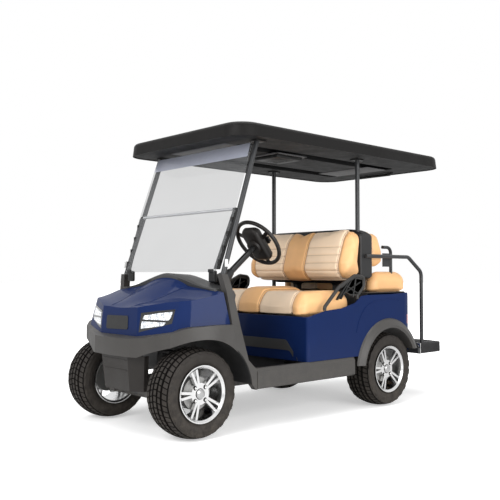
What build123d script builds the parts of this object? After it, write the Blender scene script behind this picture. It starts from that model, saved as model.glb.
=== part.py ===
from build123d import *
import math
import os

# Four-seat golf cart: two seats face forward, two face back, under one long canopy.
# Millimetres. +X forward, +Y the cart's left, +Z up, origin on the ground at mid length.

# ---- driving dimensions -------------------------------------------------------------
wheelbase = 1664.0
front_overhang = 266.0          # front axle to the bumper's face
rear_overhang = 762.0           # rear axle to the back edge of the step
track_front = 890.0
track_rear = 990.0
tyre_radius = 260.0
tyre_width = 215.0
rim_radius = 152.0              # 12 inch wheel, at the bead
canopy_width = 1224.0
canopy_length = 2140.0
canopy_front_x = 858.0
canopy_base_z = 1757.0
canopy_rim_height = 88.0
body_width = 1180.0             # over the painted sides
fender_width = 1200.0           # over the front fenders and the sills
kingpin_y = 395.0
running_gap = 0.3               # between pieces that sit on each other
panel_wall = 6.0

# ---- stations worked out from them --------------------------------------------------
rear_axle_x = (rear_overhang - front_overhang - wheelbase) / 2
front_axle_x = rear_axle_x + wheelbase
nose_x = front_axle_x + front_overhang
tail_x = rear_axle_x - rear_overhang
axle_z = tyre_radius
fender_half = fender_width / 2
body_half = body_width / 2

os.makedirs("parts", exist_ok=True)


def save(piece, name):
    """Label a finished piece and write it as its own STEP file."""
    piece.label = name
    export_step(piece, f"parts/{name}.step")


# ---- wheels -------------------------------------------------------------------------
# A low tyre on a cast alloy rim with five pairs of spokes and four wheel nuts.
bead_half = 82.0
shoulder_half = 92.0
shoulder_drop = 15.0
rim_wall = 6.0
rim_lip = 11.0                  # the flange stands this far out from the bead seat
rim_half = tyre_width / 2 - 4
rim_face_y = 78.0               # spokes' outer face, out from the wheel's middle
hub_radius = 62.0
hub_depth = 34.0
spoke_depth = 24.0
spoke_width = 15.0
spoke_gap = 24.0                # between the two spokes of a pair, at the rim
cap_radius = 29.0
lug_circle = 101.6
lug_hole = 8.0
rim_inner = rim_radius - rim_wall

# name, axle X, track, side (+1 is the cart's left)
wheel_rows = [
    ("front_left", front_axle_x, track_front, 1),
    ("front_right", front_axle_x, track_front, -1),
    ("rear_left", rear_axle_x, track_rear, 1),
    ("rear_right", rear_axle_x, track_rear, -1),
]

for name, axle_x, track, side in wheel_rows:
    centre = (axle_x, side * track / 2, axle_z)
    axle = Axis(centre, (0, 1, 0))
    section = Plane(origin=centre, x_dir=(1, 0, 0), z_dir=(0, 0, 1))
    face = Plane(
        origin=(axle_x, side * (track / 2 + rim_face_y), axle_z),
        x_dir=(1, 0, 0),
        z_dir=(0, side, 0),
    )
    side_radius = (rim_radius + tyre_radius) / 2
    crown_edge = tyre_radius - shoulder_drop
    bead = rim_radius + running_gap

    with BuildPart() as tyre:
        with BuildSketch(section):
            with BuildLine():
                ThreePointArc((bead, bead_half), (side_radius, tyre_width / 2), (crown_edge, shoulder_half))
                ThreePointArc((crown_edge, shoulder_half), (tyre_radius, 0), (crown_edge, -shoulder_half))
                ThreePointArc((crown_edge, -shoulder_half), (side_radius, -tyre_width / 2), (bead, -bead_half))
                Line((bead, -bead_half), (bead, bead_half))
            make_face()
        revolve(axis=axle)
    save(tyre.part, f"tyre_{name}")

    with BuildPart() as rim:
        with BuildSketch(section):
            with BuildLine():
                Polyline(
                    (rim_radius, rim_half - 7),
                    (rim_radius + rim_lip, rim_half - 3),
                    (rim_radius + rim_lip, rim_half),
                    (rim_radius + rim_lip - rim_wall, rim_half),
                    (rim_inner, rim_half - 9),
                    (rim_inner, 9 - rim_half),
                    (rim_radius + rim_lip - rim_wall, -rim_half),
                    (rim_radius + rim_lip, -rim_half),
                    (rim_radius + rim_lip, 3 - rim_half),
                    (rim_radius, 7 - rim_half),
                    close=True,
                )
            make_face()
        revolve(axis=axle)
        with BuildSketch(face):
            Circle(hub_radius)
        extrude(amount=-hub_depth)
        with BuildSketch(face):
            with PolarLocations(0, 5):
                Polygon(
                    (hub_radius - 8, -spoke_width),
                    (rim_inner + 2, -spoke_gap / 2 - spoke_width),
                    (rim_inner + 2, -spoke_gap / 2),
                    (hub_radius - 2, 0),
                    (rim_inner + 2, spoke_gap / 2),
                    (rim_inner + 2, spoke_gap / 2 + spoke_width),
                    (hub_radius - 8, spoke_width),
                    align=None,
                )
        extrude(amount=-spoke_depth)
        with BuildSketch(face):
            with PolarLocations(lug_circle / 2, 4, 45):
                Circle(lug_hole)
        extrude(amount=-hub_depth / 2, mode=Mode.SUBTRACT)
        with BuildSketch(face):
            Circle(cap_radius)
        extrude(amount=6)
    save(rim.part, f"rim_{name}")

hub_back = rim_face_y - hub_depth       # wheel's middle to the back of the rim's hub

# ---- front knuckles, tie rod and suspension -----------------------------------------
kingpin_radius = 18.0
kingpin_half = 62.0
ear_thickness = 12.0
spindle_radius = 16.0
drum_radius = 95.0
drum_depth = 40.0
pin_radius = 10.0               # the kingpin below its barrel, down through the lower ear
pin_clearance = 0.1
arm_length = 80.0
arm_inset = 20.0
arm_thickness = 12.0
tie_rod_radius = 8.0
tie_eye_radius = 14.0
knuckle_hub = track_front / 2 + hub_back - running_gap
arm_z = axle_z - kingpin_half - 2 * ear_thickness - 8
tie_gap = 0.5

for name, side in (("left", 1), ("right", -1)):
    pin = (front_axle_x, side * kingpin_y)
    with BuildPart() as knuckle:
        with BuildSketch(Plane.XY.offset(axle_z - kingpin_half)):
            with Locations(pin):
                Circle(kingpin_radius)
        extrude(amount=2 * kingpin_half)
        with BuildSketch(Plane(origin=(front_axle_x, side * kingpin_y, axle_z), x_dir=(1, 0, 0), z_dir=(0, side, 0))):
            Circle(spindle_radius)
        extrude(amount=knuckle_hub - kingpin_y)
        with BuildSketch(Plane(origin=(front_axle_x, side * knuckle_hub, axle_z), x_dir=(1, 0, 0), z_dir=(0, side, 0))):
            Circle(drum_radius)
        extrude(amount=-drum_depth)
        with BuildSketch(Plane.XY.offset(arm_z)):
            with Locations(pin):
                Circle(pin_radius)
        extrude(amount=axle_z - kingpin_half - arm_z)
        with BuildSketch(Plane.XY.offset(arm_z)):
            with Locations(pin):
                Circle(kingpin_radius)
            with BuildLine():
                Polyline(
                    (front_axle_x, side * (kingpin_y + 14)),
                    (front_axle_x, side * (kingpin_y - 14)),
                    (front_axle_x - arm_length, side * (kingpin_y - arm_inset - 10)),
                    (front_axle_x - arm_length, side * (kingpin_y - arm_inset + 10)),
                    close=True,
                )
            make_face()
            with Locations((front_axle_x - arm_length, side * (kingpin_y - arm_inset))):
                Circle(tie_eye_radius)
        extrude(amount=arm_thickness)
    save(knuckle.part, f"knuckle_{name}")

tie_y = kingpin_y - arm_inset
tie_z = arm_z + arm_thickness + tie_gap
with BuildPart() as tie_rod:
    for side in (1, -1):
        with BuildSketch(Plane.XY.offset(tie_z)):
            with Locations((front_axle_x - arm_length, side * tie_y)):
                Circle(tie_eye_radius)
        extrude(amount=2 * tie_rod_radius)
    with BuildSketch(Plane.XZ.offset(tie_y)):
        with Locations((front_axle_x - arm_length, tie_z + tie_rod_radius)):
            Circle(tie_rod_radius)
    extrude(amount=-2 * tie_y)
save(tie_rod.part, "tie_rod")

rail_y = 190.0
rail_width = 50.0
rail_height = 70.0
rail_z = 215.0
rail_kick = 155.0                # the rails climb this much to pass over the rear axle
rail_front_x = front_axle_x + 130
rail_rear_x = rear_axle_x - 300
kick_start_x = rear_axle_x + 460
kick_end_x = rear_axle_x + 290
beam_width = 56.0
beam_height = 34.0
yoke_y = kingpin_y - 28
ear_reach = kingpin_y + kingpin_radius
damper_radius = 26.0
damper_y = 255.0
tower_z = 470.0

with BuildPart() as front_suspension:
    with BuildSketch(Plane.XY.offset(rail_z - beam_height)):
        with Locations((front_axle_x, 0)):
            Rectangle(beam_width, 2 * yoke_y)
    extrude(amount=beam_height)
    for side in (1, -1):
        with BuildSketch(Plane.XZ.offset(-side * yoke_y)):
            with Locations((front_axle_x, axle_z)):
                Rectangle(beam_width, 2 * (kingpin_half + ear_thickness + running_gap))
        extrude(amount=side * ear_thickness)
        for level in (1, -1):
            ear_z = axle_z + level * (kingpin_half + running_gap)
            with BuildSketch(Plane.XY.offset(ear_z)):
                with Locations((front_axle_x, side * (yoke_y + ear_reach) / 2)):
                    Rectangle(beam_width, ear_reach - yoke_y)
            extrude(amount=level * ear_thickness)
        with BuildSketch(Plane.XY.offset(arm_z)):
            with Locations((front_axle_x, side * kingpin_y)):
                Circle(pin_radius + pin_clearance)
        extrude(amount=axle_z - arm_z, mode=Mode.SUBTRACT)
        with BuildSketch(Plane.XY.offset(rail_z)):
            with Locations((front_axle_x, side * damper_y)):
                Circle(damper_radius)
        extrude(amount=tower_z - rail_z - running_gap)
save(front_suspension.part, "front_suspension")

# ---- chassis frame ------------------------------------------------------------------
# Two rails that climb over the rear axle, cross members, and the front damper towers.
rail_top = rail_z + rail_height
tower_wall = 12.0
kick_z = rail_z + rail_kick

with BuildPart() as chassis_frame:
    for side in (1, -1):
        with BuildSketch(Plane.XZ.offset(-side * rail_y)):
            with BuildLine():
                Polyline(
                    (rail_front_x, rail_z),
                    (rail_front_x, rail_top),
                    (kick_start_x - 20, rail_top),
                    (kick_end_x - 20, kick_z + rail_height),
                    (rail_rear_x, kick_z + rail_height),
                    (rail_rear_x, kick_z),
                    (kick_end_x + 20, kick_z),
                    (kick_start_x, rail_z),
                    close=True,
                )
            make_face()
        extrude(amount=rail_width / 2, both=True)
        with BuildSketch(Plane.XY.offset(rail_top)):
            with Locations((front_axle_x, side * rail_y)):
                Rectangle(80, rail_width)
        extrude(amount=tower_z + tower_wall - rail_top)
        with BuildSketch(Plane.XY.offset(tower_z)):
            with Locations((front_axle_x, side * (damper_y + rail_y) / 2)):
                Rectangle(80, damper_y - rail_y + rail_width)
        extrude(amount=tower_wall)
    for cross_x, cross_z in (
        (rail_front_x - 30, rail_z),
        (front_axle_x - 190, rail_z),
        (kick_start_x + 40, rail_z),
        (rail_rear_x + 30, kick_z),
    ):
        with BuildSketch(Plane.XY.offset(cross_z + 10)):
            with Locations((cross_x, 0)):
                Rectangle(50, 2 * rail_y)
        extrude(amount=rail_height - 20)
save(chassis_frame.part, "chassis_frame")

# ---- rear axle, motor and leaf springs ----------------------------------------------
axle_tube_radius = 30.0
rear_drum_radius = 95.0
rear_drum_depth = 40.0
diff_radius = 88.0
motor_radius = 90.0
motor_length = 230.0
motor_forward = 105.0
rear_hub = track_rear / 2 + hub_back - running_gap
leaf_thickness = 22.0
leaf_width = 50.0
leaf_half = 260.0
leaf_eye_z = kick_z - running_gap
pad_height = 8.0

with BuildPart() as rear_axle:
    with BuildSketch(Plane(origin=(rear_axle_x, -rear_hub, axle_z), x_dir=(1, 0, 0), z_dir=(0, 1, 0))):
        Circle(axle_tube_radius)
    extrude(amount=2 * rear_hub)
    for side in (1, -1):
        with BuildSketch(Plane(origin=(rear_axle_x, side * rear_hub, axle_z), x_dir=(1, 0, 0), z_dir=(0, side, 0))):
            Circle(rear_drum_radius)
        extrude(amount=-rear_drum_depth)
        with BuildSketch(Plane.XY.offset(axle_z)):
            with Locations((rear_axle_x, side * rail_y)):
                Rectangle(90, leaf_width)
        extrude(amount=axle_tube_radius + pad_height)
    with BuildSketch(Plane(origin=(rear_axle_x, 0, axle_z), x_dir=(1, 0, 0), z_dir=(0, 1, 0))):
        Circle(diff_radius)
    extrude(amount=70, both=True)
    with BuildSketch(Plane(origin=(rear_axle_x + motor_forward, -20, axle_z), x_dir=(1, 0, 0), z_dir=(0, 1, 0))):
        Circle(motor_radius)
    extrude(amount=motor_length / 2, both=True)
save(rear_axle.part, "rear_axle")

leaf_low_z = axle_z + axle_tube_radius + pad_height + running_gap
with BuildPart() as rear_springs:
    for side in (1, -1):
        with BuildSketch(Plane.XZ.offset(-side * rail_y)):
            with BuildLine():
                ThreePointArc(
                    (rear_axle_x - leaf_half, leaf_eye_z - leaf_thickness),
                    (rear_axle_x, leaf_low_z),
                    (rear_axle_x + leaf_half, leaf_eye_z - leaf_thickness),
                )
                Line((rear_axle_x + leaf_half, leaf_eye_z - leaf_thickness), (rear_axle_x + leaf_half, leaf_eye_z))
                ThreePointArc(
                    (rear_axle_x + leaf_half, leaf_eye_z),
                    (rear_axle_x, leaf_low_z + leaf_thickness),
                    (rear_axle_x - leaf_half, leaf_eye_z),
                )
                Line((rear_axle_x - leaf_half, leaf_eye_z), (rear_axle_x - leaf_half, leaf_eye_z - leaf_thickness))
            make_face()
        extrude(amount=leaf_width / 2, both=True)
save(rear_springs.part, "rear_springs")

# ---- floor, sills and mat -----------------------------------------------------------
floor_thickness = 6.0
sill_outer_y = fender_half
sill_width = 42.0
sill_bottom_z = 253.0
sill_top_z = 376.0
sill_front_x = front_axle_x - 374
sill_rear_x = rear_axle_x + 389
seat_front_x = rear_axle_x + 846
toe_start_x = front_axle_x - 350
toe_mid_x = front_axle_x - 270
toe_top_x = front_axle_x - 184
toe_mid_z = 470.0
toe_top_z = 640.0
floor_z = rail_top + floor_thickness
mat_thickness = 12.0
floor_half = sill_outer_y - sill_width
floor_rear_x = kick_start_x + 10
toe_half = floor_half - 18.3      # clear of the pillar covers

with BuildPart() as floor_pan:
    with BuildSketch(Plane.XZ):
        with BuildLine():
            Polyline(
                (toe_start_x - 40, rail_top),
                (toe_start_x, rail_top),
                (toe_mid_x, toe_mid_z),
                (toe_top_x, toe_top_z),
                (toe_top_x - floor_thickness, toe_top_z),
                (toe_mid_x - floor_thickness, toe_mid_z + 4),
                (toe_start_x - floor_thickness, floor_z),
                (toe_start_x - 40, floor_z),
                close=True,
            )
        make_face()
    extrude(amount=toe_half, both=True)
    with BuildSketch(Plane.XY.offset(rail_top)):
        with Locations(((floor_rear_x + toe_start_x - 40) / 2, 0)):
            Rectangle(toe_start_x - 40 - floor_rear_x, 2 * floor_half)
    extrude(amount=floor_thickness)
    for side in (1, -1):
        with BuildSketch(Plane.YZ.offset(sill_rear_x)):
            with BuildLine():
                Polyline(
                    (side * floor_half, sill_bottom_z + 12),
                    (side * floor_half, sill_top_z),
                    (side * (sill_outer_y - 14), sill_top_z),
                    (side * sill_outer_y, sill_top_z - 20),
                    (side * sill_outer_y, sill_bottom_z + 10),
                    (side * (sill_outer_y - 12), sill_bottom_z),
                    (side * (sill_outer_y - 12), sill_bottom_z + 12),
                    close=True,
                )
            make_face()
        extrude(amount=sill_front_x - sill_rear_x)
save(floor_pan.part, "floor_pan")

mat_rear_x = seat_front_x + 3
mat_rib = 14.0
mat_groove = 3.0
with BuildPart() as floor_mat:
    with BuildSketch(Plane.XY.offset(floor_z)):
        with Locations(((mat_rear_x + toe_start_x - 30) / 2, 0)):
            Rectangle(toe_start_x - 30 - mat_rear_x, 2 * floor_half - 12)
    extrude(amount=mat_thickness)
    with BuildSketch(Plane.XY.offset(floor_z + mat_thickness)):
        with Locations(((mat_rear_x + toe_start_x - 30) / 2, 0)):
            with GridLocations(1, 4 * mat_rib, 1, 17):
                Rectangle(toe_start_x - 90 - mat_rear_x, mat_rib)
    extrude(amount=-mat_groove, mode=Mode.SUBTRACT)
save(floor_mat.part, "floor_mat")

# ---- front body: hood, headlights, fascia, chin, arch liners -------------------------
# The hood's edge runs on one plane that climbs towards the back, and the fascia meets it.
hood_front_x = front_axle_x + 208
hood_back_edge_x = front_axle_x - 212
# X and Z of the seam between hood and fascia, from in front of the nose to the pillar
seam_line = [
    (nose_x + 50, 550),
    (hood_front_x, 575),
    (front_axle_x + 105, 627),
    (front_axle_x + 60, 637),
    (front_axle_x - 80, 646),
    (sill_front_x - 50, 642),
]
flank_low_z = 575.0
flank_high_z = 740.0
hood_floor_z = 520.0
hood_roof_z = 1000.0

# Plan of the hood at flank_low_z and at flank_high_z: X and half width of the nose's corner,
# of the corner behind the headlight, of the fender's middle and of the back edge.
hood_plan_low = [
    (hood_front_x, 194),
    (front_axle_x + 150, 440),
    (front_axle_x + 10, 532),
    (hood_back_edge_x, 582),
]
hood_plan_high = [
    (hood_front_x - 11, 186),
    (front_axle_x + 98, 444),
    (front_axle_x - 20, 517),
    (hood_back_edge_x, 566),
]

# X, crown Z, half width and Z of the raised crease, half width and Z at the outer edge
hood_rows = [
    (front_axle_x + 220, 728, 112, 730, 430, 735),
    (front_axle_x + 101, 774, 145, 768, 430, 778),
    (front_axle_x + 20, 820, 173, 797, 495, 788),
    (front_axle_x - 80, 880, 206, 840, 545, 808),
    (front_axle_x - 180, 934, 240, 876, 572, 836),
    (front_axle_x - 220, 952, 262, 892, 578, 842),
]
hood_edge_run = 80.0              # the top's section runs on past the outer edge


def hood_plan(z, wall):
    """Plan of the hood at one height, between or beyond the two given plans."""
    share = (z - flank_low_z) / (flank_high_z - flank_low_z)
    corners = [
        (low[0] + share * (high[0] - low[0]), low[1] + share * (high[1] - low[1]))
        for low, high in zip(hood_plan_low, hood_plan_high)
    ]
    nose, lamp_back, fender, back = corners
    mirrored = [(x, -y) for x, y in corners]
    with BuildSketch(Plane.XY.offset(z)) as sketch:
        with BuildLine():
            Polyline(mirrored[1], mirrored[0], nose, lamp_back)
            ThreePointArc(lamp_back, fender, back)
            Line(back, mirrored[3])
            ThreePointArc(mirrored[3], mirrored[2], mirrored[1])
        make_face()
        if wall:
            offset(amount=-wall, kind=Kind.INTERSECTION)
    return sketch.sketch


def hood_section(row, wall):
    """Outline across the hood at one station: rounded bulge, creases, then flatter fenders."""
    x, crown, crease_half, crease, edge_half, edge = row
    reach = edge_half + hood_edge_run
    reach_z = crease + (edge - crease) * (reach - crease_half) / (edge_half - crease_half) - wall
    with BuildSketch(Plane.YZ.offset(x)) as sketch:
        with BuildLine():
            Polyline(
                (-crease_half, crease - wall),
                (-reach, reach_z),
                (-reach, hood_floor_z),
                (reach, hood_floor_z),
                (reach, reach_z),
                (crease_half, crease - wall),
            )
            ThreePointArc((crease_half, crease - wall), (0, crown - wall), (-crease_half, crease - wall))
        make_face()
    return sketch.sketch


def hood_shape(wall):
    """The hood's whole form: its tapering plan, capped by its top, cut at the seam plane."""
    with BuildPart() as shape:
        loft(sections=[hood_plan(hood_floor_z - 40, wall), hood_plan(hood_roof_z, wall)], ruled=True)
        top = loft(sections=[hood_section(row, wall) for row in hood_rows], mode=Mode.PRIVATE)
        add(top, mode=Mode.INTERSECT)
    return shape.part


def below_seam(drop):
    """Everything under the seam between hood and fascia, less a drop."""
    with BuildPart() as wedge:
        with BuildSketch(Plane.XZ):
            with BuildLine():
                Polyline(
                    *[(x, z - drop) for x, z in seam_line],
                    (seam_line[-1][0], 100),
                    (seam_line[0][0], 100),
                    close=True,
                )
            make_face()
        extrude(amount=fender_width, both=True)
    return wedge.part


hood_void = hood_shape(panel_wall)
with BuildPart() as hood_form:
    add(hood_shape(0))
    add(below_seam(0), mode=Mode.SUBTRACT)

# The hood's back edge leans with the pillars.
hood_back_x = front_axle_x - 180
hood_back_lean = 0.163
with BuildPart() as hood_back:
    with BuildSketch(Plane.XZ):
        with BuildLine():
            Polyline(
                (hood_back_x, 650),
                (hood_back_x - hood_back_lean * 100, 550),
                (hood_back_x - 200, 550),
                (hood_back_x - 200, 1000),
                (hood_back_x + hood_back_lean * 350, 1000),
                close=True,
            )
        make_face()
    extrude(amount=700, both=True)

# Headlight outline on the flank, u back along the flank and v up.
lamp_u = (-108, 124, 116, -118)
lamp_v = (30, 56, -24, -82)
lamp_origin = (front_axle_x + 159, 316, 680)
lamp_normal = (0.949, 0.314, 0)
lamp_along = (-0.314, 0.949, 0)
lamp_depth = 60.0


def lamp_prism(grow):
    """Prism through both flanks in the headlight's outline, grown by a clearance."""
    with BuildPart() as prism:
        with BuildSketch(Plane(origin=lamp_origin, x_dir=lamp_along, z_dir=lamp_normal)):
            with BuildLine():
                Polyline(*zip(lamp_u, lamp_v), close=True)
            make_face()
            if grow:
                offset(amount=grow)
        extrude(amount=90)
        extrude(prism.faces().sort_by(Axis(lamp_origin, lamp_normal))[0], amount=lamp_depth)
        mirror(about=Plane.XZ)
    return prism.part


with BuildPart() as headlights:
    add(hood_form.part)
    add(lamp_prism(0), mode=Mode.INTERSECT)
save(headlights.part, "headlights")

with BuildPart() as hood:
    add(hood_form.part)
    add(hood_void, mode=Mode.SUBTRACT)
    add(hood_back.part, mode=Mode.SUBTRACT)
    add(lamp_prism(running_gap), mode=Mode.SUBTRACT)
save(hood.part, "hood")

# The fascia is the dark band under the hood: bumper in front, fenders over the wheels.
arch_radius = 322.0
arch_x = front_axle_x - 5
arch_z = 245.0
band_low_z = 457.0
ledge_width = 20.0
pillar_foot_x = sill_front_x + 40
# X and Z of the fender's back edge, where the pillar cover meets it
pillar_line = [(pillar_foot_x, 284), (front_axle_x - 252, 368), (front_axle_x - 183, 640), (front_axle_x - 173, 710)]


def fascia_outline(inset):
    """Plan of the fascia from the bumper's face back along both fenders."""
    fender = (nose_x - 360, fender_half - 10)
    haunch = (nose_x - 226, fender_half - 45)
    corner = (nose_x - 106, fender_half - 145)
    bumper = (nose_x - 12, fender_half - 410)
    with BuildSketch() as sketch:
        with BuildLine():
            Polyline((fender[0], -fender[1]), (sill_front_x, -fender_half), (sill_front_x, fender_half), fender)
            ThreePointArc(fender, haunch, corner)
            Line(corner, bumper)
            ThreePointArc(bumper, (nose_x, 0), (bumper[0], -bumper[1]))
            Line((bumper[0], -bumper[1]), (corner[0], -corner[1]))
            ThreePointArc((corner[0], -corner[1]), (haunch[0], -haunch[1]), (fender[0], -fender[1]))
        make_face()
        if inset:
            offset(amount=-inset)
    return sketch.sketch


with BuildPart() as behind_pillar:
    with BuildSketch(Plane.XZ):
        with BuildLine():
            Polyline(*pillar_line, (pillar_foot_x - 200, 710), (pillar_foot_x - 200, 200), (pillar_foot_x, 200), close=True)
        make_face()
    extrude(amount=fender_width, both=True)

with BuildPart() as fascia_void:
    extrude(fascia_outline(panel_wall), amount=700)
    add(below_seam(panel_wall + running_gap), mode=Mode.INTERSECT)

with BuildPart() as front_fascia:
    extrude(fascia_outline(0), amount=700)
    add(below_seam(running_gap), mode=Mode.INTERSECT)
    add(fascia_void.part, mode=Mode.SUBTRACT)
    add(behind_pillar.part, mode=Mode.SUBTRACT)
    extrude(hood_plan(flank_low_z, ledge_width), amount=300, both=True, mode=Mode.SUBTRACT)
    with BuildSketch(Plane.XY.offset(300)):
        with Locations(((sill_front_x + hood_back_edge_x) / 2 + ledge_width, 0)):
            Rectangle(hood_back_edge_x - sill_front_x + 20, 2 * (hood_plan_low[-1][1] - ledge_width))
    extrude(amount=500, mode=Mode.SUBTRACT)
    with BuildSketch(Plane.XZ):
        with Locations((arch_x, arch_z)):
            Circle(arch_radius)
    extrude(amount=fender_width, both=True, mode=Mode.SUBTRACT)
    with BuildSketch(Plane.XY):
        with Locations(((front_axle_x + 120 + nose_x + 50) / 2, 0)):
            Rectangle(nose_x + 50 - front_axle_x - 120, 2 * fender_width)
    extrude(amount=band_low_z, mode=Mode.SUBTRACT)
    with BuildSketch(Plane.XY):
        Rectangle(4000, 4000)
    extrude(amount=sill_top_z, mode=Mode.SUBTRACT)
save(front_fascia.part, "front_fascia")

liner_wall = 4.0
liner_radius = arch_radius + 8
liner_inner_y = 222.0
with BuildPart() as arch_liners:
    with BuildSketch(Plane.XZ):
        with Locations((arch_x, arch_z)):
            Circle(liner_radius)
            Circle(liner_radius - liner_wall, mode=Mode.SUBTRACT)
        with Locations((arch_x, arch_z - liner_radius + 48)):
            Rectangle(3 * liner_radius, 2 * liner_radius, mode=Mode.SUBTRACT)
    extrude(amount=fender_width, both=True)
    extrude(fascia_outline(panel_wall + running_gap), amount=700, mode=Mode.INTERSECT)
    with BuildSketch(Plane.XY):
        Rectangle(4000, 2 * liner_inner_y)
    extrude(amount=900, mode=Mode.SUBTRACT)
    with BuildSketch(Plane.XY):
        with Locations((nose_x, 0)):
            Rectangle(2 * (nose_x - front_axle_x - 215), fender_width * 2)
    extrude(amount=band_low_z + 20, mode=Mode.SUBTRACT)
save(arch_liners.part, "arch_liners")

chin_low_z = 250.0
chin_half = 206.0
chin_back_x = rail_front_x + running_gap


def chin_section(z, front_x, front_half, half):
    """Plan of the lower cowl at one height."""
    with BuildSketch(Plane.XY.offset(z)) as sketch:
        with BuildLine():
            Polyline(
                (chin_back_x, -half),
                (chin_back_x + 30, -half),
                (front_x, -front_half),
                (front_x, front_half),
                (chin_back_x + 30, half),
                (chin_back_x, half),
                close=True,
            )
        make_face()
    return sketch.sketch


with BuildPart() as chin_cowl:
    for wall, mode in ((0, Mode.ADD), (panel_wall, Mode.SUBTRACT)):
        top = chin_section(band_low_z - running_gap, nose_x - 30 - wall, 140 - wall, chin_half - wall)
        low = chin_section(chin_low_z + wall, nose_x - 52 - wall, 132 - wall, chin_half - 8 - wall)
        loft(sections=[low, top], ruled=True, mode=mode)
save(chin_cowl.part, "chin_cowl")

# ---- pillars, dash and steering -----------------------------------------------------
screen_foot_x = front_axle_x - 152
screen_foot_z = 949.0
screen_top_x = front_axle_x - 428
screen_top_z = 1744.0
screen_lean = math.degrees(math.atan2(screen_foot_x - screen_top_x, screen_top_z - screen_foot_z))
strut_radius = 16.0
strut_back = 32.0                 # strut centre behind the pane's middle
strut_top_z = canopy_base_z + 5 - running_gap

pillar_top_z = 935.0
# Z, X of the front face, X of the back face, inset of the outer and of the inner face
# from the fender
pillar_rows = [
    (sill_bottom_z, pillar_foot_x - 26, sill_front_x, 3, 41),
    (284, pillar_foot_x, sill_front_x, 3, 41),
    (368, front_axle_x - 252, sill_front_x, 4, 45),
    (430, front_axle_x - 236, front_axle_x - 306, 5, 47),
    (640, front_axle_x - 183, front_axle_x - 243, 10, 60),
    (840, front_axle_x - 161, front_axle_x - 211, 38, 84),
    (pillar_top_z, front_axle_x - 150, front_axle_x - 196, 68, 108),
]
with BuildPart() as pillar_covers:
    for side in (1, -1):
        for low, high in zip(pillar_rows, pillar_rows[1:]):
            for z, front, back, outer, inner in (low, high):
                middle_y = fender_half - (outer + inner) / 2
                with BuildSketch(Plane.XY.offset(z)):
                    with Locations(((front + back) / 2, side * middle_y)):
                        Rectangle(front - back - 2 * running_gap, inner - outer)
            loft(ruled=True)
    with BuildSketch(Plane.XZ):
        with Locations((arch_x, arch_z)):
            Circle(liner_radius + running_gap)
    extrude(amount=fender_width, both=True, mode=Mode.SUBTRACT)
save(pillar_covers.part, "pillar_covers")

strut_y_foot = fender_half - 89
strut_y_top = strut_y_foot - 17
lean = math.radians(screen_lean)
strut_foot = Vector(screen_foot_x - strut_back, strut_y_foot, screen_foot_z)
strut_head = Vector(
    strut_foot.X - (strut_top_z - screen_foot_z) * math.tan(lean), strut_y_top, strut_top_z
)

with BuildPart() as front_struts:
    for side in (1, -1):
        foot = Vector(strut_foot.X, side * strut_foot.Y, strut_foot.Z)
        head = Vector(strut_head.X, side * strut_head.Y, strut_head.Z)
        run = head - foot
        with BuildSketch(Plane(origin=foot - run * 0.1, z_dir=run)):
            Circle(strut_radius)
        extrude(amount=run.length * 1.2)
    split(bisect_by=Plane.XY.offset(pillar_rows[-1][0] + running_gap), keep=Keep.TOP)
    split(bisect_by=Plane.XY.offset(strut_head.Z), keep=Keep.BOTTOM)
save(front_struts.part, "front_struts")

dash_half = fender_half - 112
dash_wall = 6.0
dash_brow_z = 934.0
column_y = 300.0
wheel_centre = Vector(rear_axle_x + 1006, column_y, 1138)
column_angle = 38.6
column_dir = Vector(math.cos(math.radians(column_angle)), 0, -math.sin(math.radians(column_angle)))
column_radius = 20.0
column_length = 430.0
dash_seam = 3.0
bin_half = 85.0

with BuildPart() as dash:
    with BuildSketch(Plane.XZ):
        with BuildLine():
            Polyline(
                (hood_back_x + hood_back_lean * 285 - dash_seam, pillar_top_z),
                (screen_foot_x, screen_foot_z - 6),
                (front_axle_x - 310, dash_brow_z),
                (front_axle_x - 372, dash_brow_z - 26),
                (front_axle_x - 392, 860),
                (front_axle_x - 376, 772),
                (front_axle_x - 292, 716),
                (toe_top_x - 10, toe_top_z + running_gap),
                (hood_back_x - dash_seam, toe_top_z + running_gap),
                close=True,
            )
        make_face()
        outer_face = faces()[0]
    extrude(amount=dash_half, both=True)
    with BuildSketch(Plane.XZ):
        add(outer_face)
        offset(amount=-dash_wall)
    extrude(amount=dash_half - dash_wall, both=True, mode=Mode.SUBTRACT)
    with BuildSketch(Plane.YZ.offset(front_axle_x - 500)):
        with Locations((0, 830), (-column_y, 830)):
            Rectangle(2 * bin_half, 74)
    extrude(amount=150, mode=Mode.SUBTRACT)
    with BuildSketch(Plane(origin=wheel_centre, z_dir=column_dir)):
        Circle(column_radius + running_gap)
    extrude(amount=column_length + 20, mode=Mode.SUBTRACT)
save(dash.part, "dash")

hub_height = 56.0
wheel_hub_radius = 62.0
wheel_ring = 165.0
grip_radius = 13.0
with BuildPart() as steering_column:
    with BuildSketch(Plane(origin=wheel_centre + column_dir * (hub_height + running_gap), z_dir=column_dir)):
        Circle(column_radius)
    extrude(amount=column_length - hub_height)
save(steering_column.part, "steering_column")

with BuildPart() as steering_wheel:
    with BuildSketch(Plane(origin=wheel_centre, x_dir=(0, 1, 0), z_dir=Vector(0, 1, 0).cross(column_dir))):
        with Locations((wheel_ring, 0)):
            Circle(grip_radius)
    revolve(axis=Axis(wheel_centre, column_dir))
    with BuildSketch(Plane(origin=wheel_centre - column_dir * 6, z_dir=column_dir)):
        Circle(wheel_hub_radius)
    extrude(amount=hub_height + 6, taper=12)
    with BuildSketch(Plane(origin=wheel_centre - column_dir * 4, x_dir=(0, 1, 0), z_dir=column_dir)):
        with PolarLocations(0, 3, -90):
            with Locations((wheel_ring / 2, 0)):
                Rectangle(wheel_ring, 26)
    extrude(amount=8)
save(steering_wheel.part, "steering_wheel")

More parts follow.
